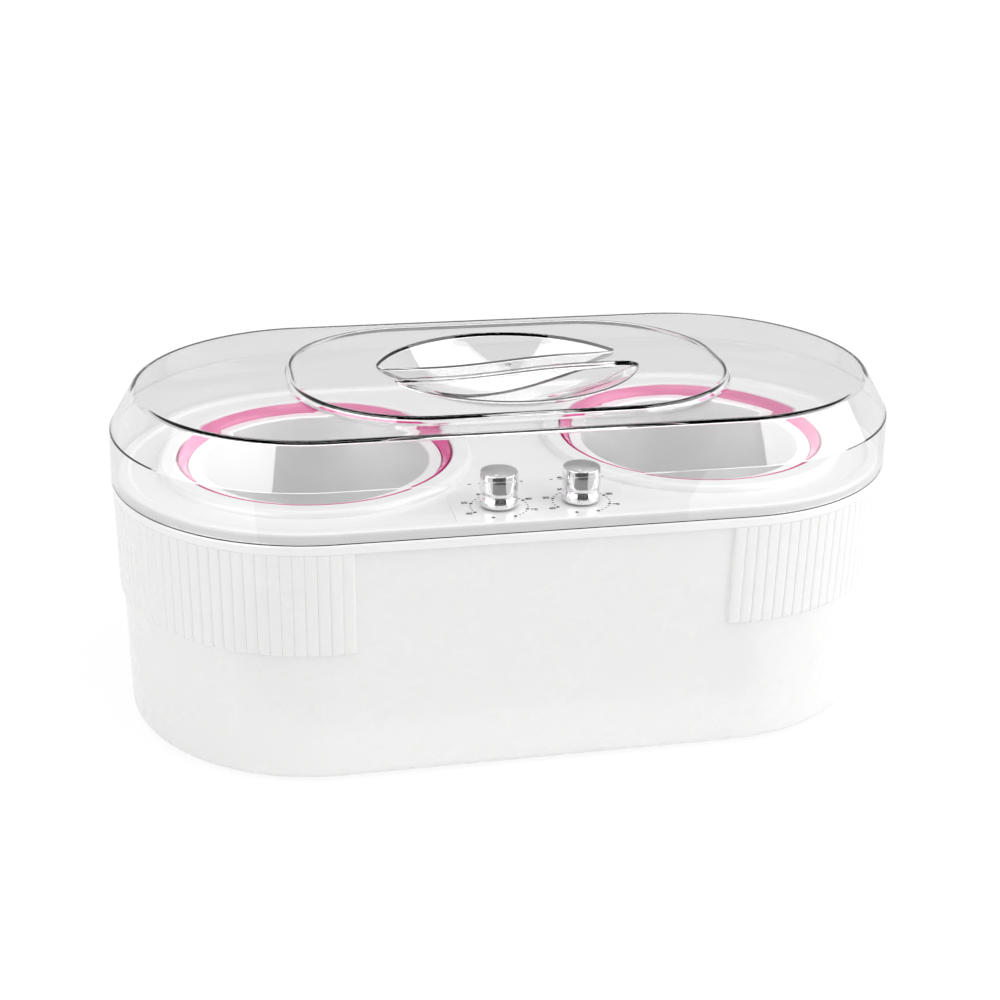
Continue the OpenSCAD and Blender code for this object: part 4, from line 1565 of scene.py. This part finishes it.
@dataclass
class Lid(Assembly):
    """The clear lid: an outer and an inner skin with a raised panel and two finger pockets."""

    wall: float = 0.0024
    shoulder: Point = (0.0934, 0.1413)
    top_edge: Point = (0.082, 0.1601)
    plate_r: float = 0.0775
    inner_shoulder: Point = (0.091, 0.1406)
    inner_edge: Point = (0.08065, 0.1577)
    longest_face: float = 0.006
    panel_corner: Point = (0.0425, 0.0075)
    panel_r: float = 0.06
    panel_margin: float = 0.005
    # How far the step's foot stands out, on the outer and the inner skin
    panel_foot: Point = (0.0018, 0.0005)
    panel_lean: float = 0.0013
    grip_centre: Point = (-0.0005, -0.0026)
    pocket_r: float = 0.064
    pocket_depth: float = 0.0176
    pocket_wall: float = 0.0014
    pocket_centre: Point = (-0.0013, -0.013)
    pocket_grid: tuple[int, int] = (72, 40)
    pocket_gap: float = 0.000005
    bar_half: float = 0.0084
    bar_swing: float = 0.0054
    swing_run: float = 0.036
    blunt_tip: float = 0.005
    sharp_tip: float = 0.0015
    gate_r: float = 0.0015
    gate_depth: float = 0.0005
    rim_soft: float = 0.0013
    foot_soft: float = 0.0006
    under_foot: float = 0.004

    def build(self) -> None:
        """Builds both skins and joins them along the lower edge."""
        piece = Bench.join([self.skin(False), self.skin(True)], "lid_shell")
        Bench.weld(piece)
        self.dress(piece, ClearPlastic(), angle=48)
        settle(piece, "lid", "clear_lid", "clear_lid")

    def skirt_section(self, inner: bool) -> list[Point]:
        """Gives a skin's section from the lower edge to the flat top.

        Args:
            inner: True for the skin that faces the deck.

        Returns:
            Distance from the round end's centre and height of each point.
        """
        low, r = self.plan.lid_low, self.plan.lid_r
        if inner:
            corners = [(r - self.wall, low), self.inner_shoulder, self.inner_edge]
            top_radius = 0.0012
        else:
            corners = [(r, low), self.shoulder, self.top_edge]
            top_radius = 0.0026
        section = [(r - self.wall / 2, low), *corners, (self.plate_r, corners[-1][1])]
        return divided(rounded(section, {1: 0.0006, 2: 0.0002, 3: top_radius}, 6), self.longest_face)

    def panel_section(self, inner: bool) -> list[Point]:
        """Gives the raised panel's step, measured from a corner's centre.

        Args:
            inner: True for the skin that faces the deck.

        Returns:
            Distance from the corner's centre and height of each point.
        """
        r, top, plate = self.panel_r, self.plan.lid_top, self.top_edge[1]
        foot, lean, radii = self.panel_foot[0], 0.0, {1: 0.0008, 2: 0.0014}
        if inner:
            top, plate = top - self.wall, plate - self.wall
            foot, lean, radii = self.panel_foot[1], self.panel_lean, {1: 0.0022, 2: 0.001}
        far, near = r + self.panel_margin, r - self.panel_margin
        return rounded([(far, plate), (r + foot, plate), (r - lean, top), (near, top)], radii, 6)

    def skin(self, inner: bool) -> Piece:
        """Builds one skin, open along the lower edge.

        Args:
            inner: True for the skin that faces the deck.

        Returns:
            The skin.
        """
        drop = self.wall if inner else 0.0
        parts = [
            Bench.carry("skirt", self.skirt_section(inner), self.well(Side.RIGHT), 48),
            Bench.carry("panel", self.panel_section(inner), self.panel_corner, 32),
            self.pocket(drop, 0.0),
            self.pocket(drop, math.pi),
        ]
        if not inner:
            parts.append(self.gate_mark())
        piece = Bench.join(parts, "inner_skin" if inner else "outer_skin")
        Bench.fill(piece, self.top_edge[1] - drop)
        Bench.fill(piece, self.plan.lid_top - drop)
        return piece

    def pocket(self, skin: float, turn: float) -> Piece:
        """Builds one half-bowl pocket beside the bar.

        Args:
            skin: how far this surface lies under the outer one.
            turn: 0 for the back pocket and half a turn for the front one.

        Returns:
            The pocket's surface, open along its rim.
        """
        Bench.clear()
        across, along = self.pocket_grid
        bpy.ops.mesh.primitive_grid_add(x_subdivisions=across, y_subdivisions=along, size=2)
        piece = bpy.context.object
        shape = PocketShape(self, skin)
        for vertex in piece.data.vertices:
            vertex.co = shape.place(vertex.co.x, vertex.co.y)
        Bench.weld(piece, self.pocket_gap)
        Bench.swing(piece, turn)
        Bench.shift(piece, (*self.grip_centre, 0))
        return piece

    def gate_mark(self) -> Piece:
        """Builds the small round dimple that the mould's gate leaves on the bar.

        Returns:
            The dimple's surface, open along its rim.
        """
        top, r, deep = self.plan.lid_top, self.gate_r, self.gate_depth
        bowl = ((0.0, 1.0), (0.45, 1.0), (0.7, 0.75), (0.85, 0.3), (1.0, 0.0))
        section = [(r * out, top - deep * down) for out, down in bowl]
        return Bench.turn("gate_mark", section, self.grip_centre, 32)


class PocketShape:
    """The form of a finger pocket: a scooped bowl that ends at an upright, gently curved wall.

    A grid row runs over the rim beside the bar, down the wall, round its foot, across the
    bowl and over the bowl's rim. These are the shares of the row at which its parts end.
    """

    RIM_END = 0.15
    WALL_END = 0.3
    FOOT_END = 0.5
    BOWL_END = 0.9
    LEAD = 0.4
    FULL_DEPTH = 0.006
    FULL_WIDTH = 0.008

    def __init__(self, lid: Lid, skin: float) -> None:
        """Works out the pocket's sizes for a surface that lies under the outer one.

        Args:
            lid: the lid that holds the pocket's sizes.
            skin: how far this surface lies under the outer one.
        """
        depth, r = lid.pocket_depth, lid.pocket_r
        self.ball = (r * r + depth * depth) / (2 * depth)
        self.lid = lid
        self.top = lid.plan.lid_top - skin
        self.centre_z = self.top - depth + self.ball
        self.sheet = lid.pocket_wall if skin else 0.0
        self.rim_r = math.sqrt(self.ball ** 2 - (self.centre_z - self.top) ** 2)
        self.foot_soft = lid.under_foot if skin else lid.foot_soft
        radii = {-1: lid.blunt_tip, 1: lid.sharp_tip}
        self.tips = {sign: self.tip(sign, radius + self.sheet) for sign, radius in radii.items()}
        ends = [self.tips[sign][0] + sign * self.tips[sign][2] for sign in (-1, 1)]
        self.mid_x, self.half = (ends[0] + ends[1]) / 2, (ends[1] - ends[0]) / 2

    def tip(self, sign: int, radius: float) -> tuple[float, float, float, float]:
        """Fits the rounding between the wall and the bowl's rim.

        Args:
            sign: -1 for the left tip and 1 for the right one.
            radius: the rounding's radius.

        Returns:
            The rounding's centre, its radius and the x at which it meets the rim.
        """
        x, y = self.lid.pocket_centre
        reach = self.rim_r - radius
        centre_y = self.wall(sign * self.lid.swing_run) + radius
        centre_x = x + sign * math.sqrt(reach ** 2 - (centre_y - y) ** 2)
        return centre_x, centre_y, radius, x + (centre_x - x) * self.rim_r / reach

    def wall(self, x: float) -> float:
        """Gives the upright wall's place along Y."""
        share = min(max(x / self.lid.swing_run, -1.0), 1.0)
        return self.lid.bar_half + self.lid.bar_swing * math.sin(share * QUARTER) - self.sheet

    def near(self, x: float) -> float:
        """Gives the pocket's edge beside the bar.

        Args:
            x: place along the bar.

        Returns:
            The edge's place along Y.
        """
        centre_x, centre_y, radius, _ = self.tips[-1 if x < self.mid_x else 1]
        over = abs(x - self.mid_x) - abs(centre_x - self.mid_x)
        return self.wall(x) if over <= 0 else centre_y - math.sqrt(max(radius ** 2 - over ** 2, 0))

    def far(self, x: float) -> float:
        """Gives the pocket's edge on the bowl's rim.

        Args:
            x: place along the bar.

        Returns:
            The edge's place along Y.
        """
        centre_x, centre_y, radius, meet = self.tips[-1 if x < self.mid_x else 1]
        if abs(x - self.mid_x) > abs(meet - self.mid_x):
            return centre_y + math.sqrt(max(radius ** 2 - (x - centre_x) ** 2, 0))
        shift_x, shift_y = self.lid.pocket_centre
        return shift_y + math.sqrt(max(self.rim_r ** 2 - (x - shift_x) ** 2, 0))

    def bowl(self, x: float, y: float) -> float:
        """Gives the bowl's height at a place.

        Args:
            x: place along the bar.
            y: place across the bar.

        Returns:
            The height, which is nowhere above the lid.
        """
        shift_x, shift_y = self.lid.pocket_centre
        deep = math.sqrt(self.ball ** 2 - (x - shift_x) ** 2 - (y - shift_y) ** 2)
        return min(self.centre_z - deep, self.top)

    def place(self, u: float, v: float) -> Vector:
        """Gives the surface's point for a place in the flat grid.

        Args:
            u: place along the bar, from -1 to 1.
            v: place along the grid's row, from -1 beside the bar to 1 at the bowl's rim.

        Returns:
            The point.
        """
        x = self.mid_x + self.half * math.sin(u * QUARTER)
        near = self.near(x)
        far = max(near, self.far(x))
        low = self.bowl(x, near)
        scale = min(1.0, (self.top - low) / self.FULL_DEPTH, (far - near) / self.FULL_WIDTH)
        rim, foot = self.lid.rim_soft * scale, self.foot_soft * scale
        lead = rim * self.LEAD
        step = (v + 1) / 2
        if step <= self.RIM_END:
            turn = step / self.RIM_END * QUARTER
            return Vector((x, near - rim + rim * math.sin(turn), self.top - rim + rim * math.cos(turn)))
        if step <= self.WALL_END:
            share = (step - self.RIM_END) / (self.WALL_END - self.RIM_END)
            start, end = self.top - rim, low + foot
            return Vector((x, near, start + (end - start) * share))
        if step <= self.FOOT_END:
            turn = (step - self.WALL_END) / (self.FOOT_END - self.WALL_END) * QUARTER
            y = near + foot * (1 - math.cos(turn))
            return Vector((x, y, self.bowl(x, y) + foot * (1 - math.sin(turn))))
        if step <= self.BOWL_END:
            share = (step - self.FOOT_END) / (self.BOWL_END - self.FOOT_END)
            start, end = near + foot, far - lead
            y = start + (end - start) * share
            return Vector((x, y, self.bowl(x, y)))
        share = (step - self.BOWL_END) / (1 - self.BOWL_END)
        fall = self.top - self.bowl(x, far - lead)
        return Vector((x, far - lead + 2 * lead * share, self.top - fall * (1 - share) ** 2))


# Power inlet


@dataclass
class Inlet(Assembly):
    """The power inlet's face and two-lobed socket at the back."""

    lobe_x: float = 0.0043
    lobe_r: float = 0.0058
    lobe_depth: float = 0.014
    shell_half: Point = (0.0117, 0.0074)
    pin_r: float = 0.00125
    # How far the face and its shell reach into each other at the casing's wall
    sunk: Point = (0.0002, 0.0005)
    corner: float = 0.003
    edge: float = 0.0003

    def build(self) -> None:
        """Builds the inlet."""
        low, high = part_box("power_inlet")
        middle, wall = (low.z + high.z) / 2, self.plan.casing_r
        face = Bench.block((low.x, wall - self.sunk[0], low.z), (high.x, high.y, high.z))
        with Bench.editing(face, "EDGE"):
            mesh = bmesh.from_edit_mesh(face.data)
            for edge in mesh.edges:
                start, end = edge.verts
                edge.select_set(abs(start.co.y - end.co.y) > CUT)
            bmesh.update_edit_mesh(face.data)
            bpy.ops.mesh.bevel(offset=self.corner, segments=8, affect="EDGES")
        w, h = self.shell_half
        shell = Bench.block((-w, low.y, middle - h), (w, wall + self.sunk[1], middle + h))
        Bench.trim(face, [shell], "UNION")
        tools = []
        floor = high.y - self.lobe_depth
        for x in (-self.lobe_x, self.lobe_x):
            tools.append(Bench.rod((x, floor, middle), self.lobe_r, self.lobe_depth + CUT, 48, True))
            tools.append(Bench.rod((x, low.y - CUT, middle), self.pin_r, floor - low.y + 2 * CUT, 24, True))
        Bench.trim(face, tools, "DIFFERENCE")
        sharp = math.radians(50)
        Bench.apply(face, "BEVEL", width=self.edge, segments=2, limit_method="ANGLE", angle_limit=sharp)
        Bench.named(face, "inlet_face")
        self.dress(face, BLACK_PLASTIC, angle=40)
        settle(face, BODY, "inlet", "power_inlet")


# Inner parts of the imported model


SIDE_FINISHES: dict[str, Finish] = {
    "heating_well": WELL_METAL, "heater_band": HEATER_FOIL, "well_clamp": STEEL,
    "thermal_cutout": BLACK_PLASTIC, "thermostat": STEEL, "thermostat_shaft": STEEL, "thermostat_nut": STEEL,
    "pointer_dot": POINTER_PAINT,
}
SINGLE_FINISHES: dict[str, Finish] = {
    "heater_band_screws": STEEL, "clamp_screws": STEEL, "inlet_pins": BRASS, "terminal_block": CERAMIC,
    "terminal_screws": STEEL, "casing_screws": STEEL, "inlet_leads": BROWN_LEAD, "left_leads": RED_LEAD,
    "right_leads": BLUE_LEAD,
}


def dress_inner_parts(wardrobe: Wardrobe) -> None:
    """Gives the CAD nodes that stay their finishes.

    Args:
        wardrobe: gives them their materials.
    """
    pairs = {f"{side.label}_{name}": finish for side in Side for name, finish in SIDE_FINISHES.items()}
    for name, finish in (pairs | SINGLE_FINISHES).items():
        wardrobe.dress(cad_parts[name], finish)
    LOG.info("%d CAD nodes dressed", len(pairs) + len(SINGLE_FINISHES))


# Studio


@dataclass(frozen=True)
class View:
    """The camera's place, as fitted to the photograph.

    Args:
        target: the point that it looks at.
        distance: how far from that point it is.
        azimuth: 0 in front, positive towards +X, in degrees.
        elevation: height above the horizon, in degrees.
        roll: turn round its own axis, in degrees.
        lens: focal length in millimetres.
        sensor: width of its picture in millimetres.
    """

    target: Place = (0.00186, 0.02127, 0.08353)
    distance: float = 0.80095
    azimuth: float = -11.88
    elevation: float = 23.08
    roll: float = 1.09
    lens: float = 57.19
    sensor: float = 36.0


@dataclass(frozen=True)
class Softbox:
    """A rectangular lamp that looks at the object.

    Args:
        name: its name.
        azimuth: the side it hangs on, in degrees.
        power: its power in watts.
        elevation: height above the horizon, in degrees.
        distance: how far from the object it hangs.
        size: its width and height.
    """

    name: str
    azimuth: float
    power: float
    elevation: float = 32.0
    distance: float = 1.6
    size: Point = (1.7, 1.35)

    def hang(self, centre: Vector) -> None:
        """Hangs the lamp.

        Args:
            centre: the point that it looks at.
        """
        lamp = bpy.data.lights.new(self.name, "AREA")
        lamp.shape = "RECTANGLE"
        lamp.size, lamp.size_y = self.size
        lamp.energy = self.power
        holder = bpy.data.objects.new(self.name, lamp)
        bpy.context.scene.collection.objects.link(holder)
        holder.matrix_world = aim(self.azimuth, self.elevation, self.distance, centre)


@dataclass(frozen=True)
class Card:
    """A card that only reflections show.

    Args:
        name: its name.
        strength: how bright it is, where 1 is white.
        corners: its outline in order.
    """

    name: str
    strength: float
    corners: tuple[Place, ...]

    @classmethod
    def level(cls, name: str, strength: float, height: float, outline: Sequence[Point]) -> "Card":
        """Gives a card that lies level, from its height and its outline from above."""
        return cls(name, strength, tuple((x, y, height) for x, y in outline))

    @classmethod
    def upright(cls, name: str, strength: float, azimuth: float, across: Point) -> "Card":
        """Gives a card that stands upright on one side.

        Args:
            name: its name.
            strength: how bright it is, where 1 is white.
            azimuth: the side it stands on, in degrees.
            across: its two ends, along the direction that is 90 degrees further round.

        Returns:
            The card.
        """
        a = math.radians(azimuth)
        distance, low, high = 1.2, 0.1, 1.5
        away = Vector((math.sin(a), -math.cos(a), 0)) * distance
        along = Vector((math.cos(a), math.sin(a), 0))
        ends = [(across[0], low), (across[1], low), (across[1], high), (across[0], high)]
        return cls(name, strength, tuple(tuple(away + along * u + Vector((0, 0, z))) for u, z in ends))

    def hang(self) -> None:
        """Hangs the card."""
        card = Bench.sheet(self.name, [Vector(corner) for corner in self.corners])
        desk = Desk(f"{self.name}_paper")
        light = desk.add("ShaderNodeEmission", Color=(1, 1, 1, 1), Strength=self.strength)
        desk.show_mixed(desk.mirrored(), desk.add("ShaderNodeBsdfTransparent"), light)
        desk.leave_unsampled()
        card.data.materials.append(desk.material)
        card.visible_camera = False
        card.visible_diffuse = False
        card.visible_shadow = False


def aim(azimuth: float, elevation: float, distance: float, centre: Vector) -> Matrix:
    """Gives the place of something that looks at a centre.

    Args:
        azimuth: 0 in front, positive towards +X, in degrees.
        elevation: height above the horizon, in degrees.
        distance: how far from the centre.
        centre: what it looks at.

    Returns:
        Its matrix, with -Z towards the centre.
    """
    a, e = math.radians(azimuth), math.radians(elevation)
    back = Vector((math.sin(a) * math.cos(e), -math.cos(a) * math.cos(e), math.sin(e)))
    right = Vector((math.cos(a), math.sin(a), 0))
    turned = Matrix((right, back.cross(right), back)).transposed().to_4x4()
    return Matrix.Translation(centre + back * distance) @ turned


@dataclass
class Studio:
    """Floor, lamps, cards and camera.

    Args:
        view: the camera's place.
        fill: strength of the room's even light.
        left_fill: the share of it that comes from the left.
        fill_run: the sideways directions between which the light goes from left to even.
        horizon: height in degrees at which reflections meet the dark ceiling.
        blur: how soft that edge is, as a share of its height.
        back_run: the directions to the back between which the ceiling gets lighter.
        back_grey: how light that ceiling is behind the object.
        top_run: the heights between which it gets dark again.
        dark: how light it is elsewhere.
        through: share of the white that is seen through clear plastic.
        floor_gain: brightness of the floor's own white.
        floor_white: share of that white near the object and far from it.
        floor_fade: distances between which the first share becomes the second.
        side_light: brightness of the upright cards.
        ceiling_light: brightness of the ceiling's cards.
        ceiling_z: height of the ceiling's cards.
        table_z: height of the table's cards.
        table_grey: brightness of the table's edge.
        gloom: brightness of what is beyond the table.
    """

    view: View = View()
    fill: float = 0.67
    left_fill: float = 0.44
    fill_run: Point = (-0.85, -0.1)
    horizon: float = 14.0
    blur: float = 0.15
    back_run: Point = (-0.3, 0.1)
    back_grey: float = 0.7
    top_run: Point = (0.5, 0.8)
    dark: float = 0.03
    through: float = 0.8
    floor_gain: float = 1.03
    floor_white: Point = (0.86, 1.0)
    floor_fade: Point = (0.22, 0.6)
    side_light: float = 5.0
    ceiling_light: float = 3.5
    ceiling_z: float = 1.2
    table_z: float = 0.0006
    table_grey: float = 0.3
    gloom: float = 0.06

    def build(self) -> None:
        """Builds the studio."""
        self.camera()
        self.world()
        self.floor()
        for lamp in (
            Softbox("left_softbox", -70.0, 8.4),
            Softbox("right_softbox", 70.0, 12.2),
            Softbox("top_softbox", 0.0, 4.0, 80.0, 1.5, (0.9, 0.6)),
        ):
            lamp.hang(Vector((0, 0, 0.1)))
        for card in self.cards():
            card.hang()

    def cards(self) -> list[Card]:
        """Gives the cards that the lid, the pots and the knobs mirror.

        Returns:
            The cards.
        """
        gap = [(0.16, 0.82), (0.16, 1.3)]
        left = [(-0.45, 0.38), (-0.07, 0.38), *gap, (-0.45, 1.3)]
        right = [(0.72, 0.38), (0.72, 1.3), *gap[::-1], (0.316, 0.38)]
        table = [(-0.26, -0.14), (0.15, -0.14), (0.15, -0.36), (0.19, -0.47), (-0.45, -0.47), (-0.26, -0.29)]
        beyond = [(-0.45, -0.47), (0.19, -0.47), (4.3, -8), (-9.8, -8)]
        return [
            Card.upright("left_card", self.side_light, -66.0, (-0.52, 0.75)),
            Card.upright("right_card", self.side_light, 66.0, (-0.75, 0.71)),
            Card.level("ceiling_card_left", self.ceiling_light, self.ceiling_z, left),
            Card.level("ceiling_card_right", self.ceiling_light, self.ceiling_z, right),
            Card.level("table_edge", self.table_grey, self.table_z, table),
            Card.level("table_gloom", self.gloom, self.table_z, beyond),
        ]

    def camera(self) -> None:
        """Creates the camera at the photograph's place."""
        view = self.view
        lens = bpy.data.cameras.new("camera")
        lens.lens = view.lens
        lens.sensor_width = view.sensor
        lens.clip_start = 0.01
        lens.clip_end = 50
        eye = bpy.data.objects.new("camera", lens)
        bpy.context.scene.collection.objects.link(eye)
        place = aim(view.azimuth, view.elevation, view.distance, Vector(view.target))
        eye.matrix_world = place @ Matrix.Rotation(math.radians(view.roll), 4, "Z")
        bpy.context.scene.camera = eye

    def world(self) -> None:
        """Lights the room evenly, shows it white and gives reflections a dark ceiling."""
        world = bpy.data.worlds.new("studio")
        bpy.context.scene.world = world
        world.use_nodes = True
        desk = Desk.on(world.node_tree, "ShaderNodeOutputWorld")
        x, y, z = desk.split(desk.add("ShaderNodeTexCoord").outputs["Generated"])
        share = desk.shown_white()
        shown = desk.minus(1.0, desk.times(desk.mirrored(), self.shade(desk, y, z)))
        seen = desk.times(desk.times(share, shown), desk.dimmed(self.through))
        fill = desk.ramp(x, self.fill_run, (self.fill * self.left_fill, self.fill))
        level = desk.plus(seen, desk.times(desk.minus(1.0, share), fill))
        desk.show(desk.add("ShaderNodeBackground", Color=(1, 1, 1, 1), Strength=level))

    def shade(self, desk: Desk, y: Socket, z: Socket) -> Socket:
        """Works out how dark a reflection of the room is above the horizon.

        Args:
            desk: the world's node tree.
            y: the direction's part towards the back.
            z: the direction's part upwards.

        Returns:
            0 for white and 1 for black.
        """
        lean = math.sin(math.radians(self.horizon)) / 2
        height = desk.minus(z, desk.times(y, lean))
        above = desk.ramp(height, (lean * (1 - self.blur), lean * (1 + self.blur)), (0.0, 1.0))
        behind = desk.ramp(y, self.back_run, (0.0, self.back_grey))
        ceiling = desk.plus(desk.times(behind, desk.ramp(z, self.top_run, (1.0, 0.0))), self.dark)
        return desk.times(above, desk.minus(1.0, ceiling))

    def floor(self) -> None:
        """Lays the white floor, which keeps the object's shadow."""
        Bench.clear()
        bpy.ops.mesh.primitive_plane_add(size=30, location=(0, 0, 0))
        floor = bpy.context.object
        floor.name = "floor"
        desk = Desk("floor_white")
        matt = desk.add("ShaderNodeBsdfDiffuse", Color=(0.9, 0.9, 0.9, 1))
        level = desk.times(desk.dimmed(self.through), self.floor_gain)
        glow = desk.add("ShaderNodeEmission", Color=(1, 1, 1, 1), Strength=level)
        away = desk.fit(desk.add("ShaderNodeVectorMath", {"operation": "LENGTH"}), desk.here())
        white = desk.ramp(away.outputs["Value"], self.floor_fade, self.floor_white)
        share = desk.times(desk.shown_white(), white)
        desk.show_mixed(share, matt, glow)
        desk.leave_unsampled()
        floor.data.materials.append(desk.material)


def main() -> None:
    """Builds the warmer and its studio in order."""
    logging.basicConfig(level=logging.INFO, format="%(name)s: %(message)s")
    bpy.context.scene.view_settings.view_transform = "Standard"
    plan = Plan.read()
    wardrobe = Wardrobe()
    Studio().build()
    for assembly in (Casing, Deck, Wells, Knobs, Lid, Inlet):
        assembly(plan, wardrobe).build()
    dress_inner_parts(wardrobe)
    Bench.clear()


if __name__ == "__main__":
    main()
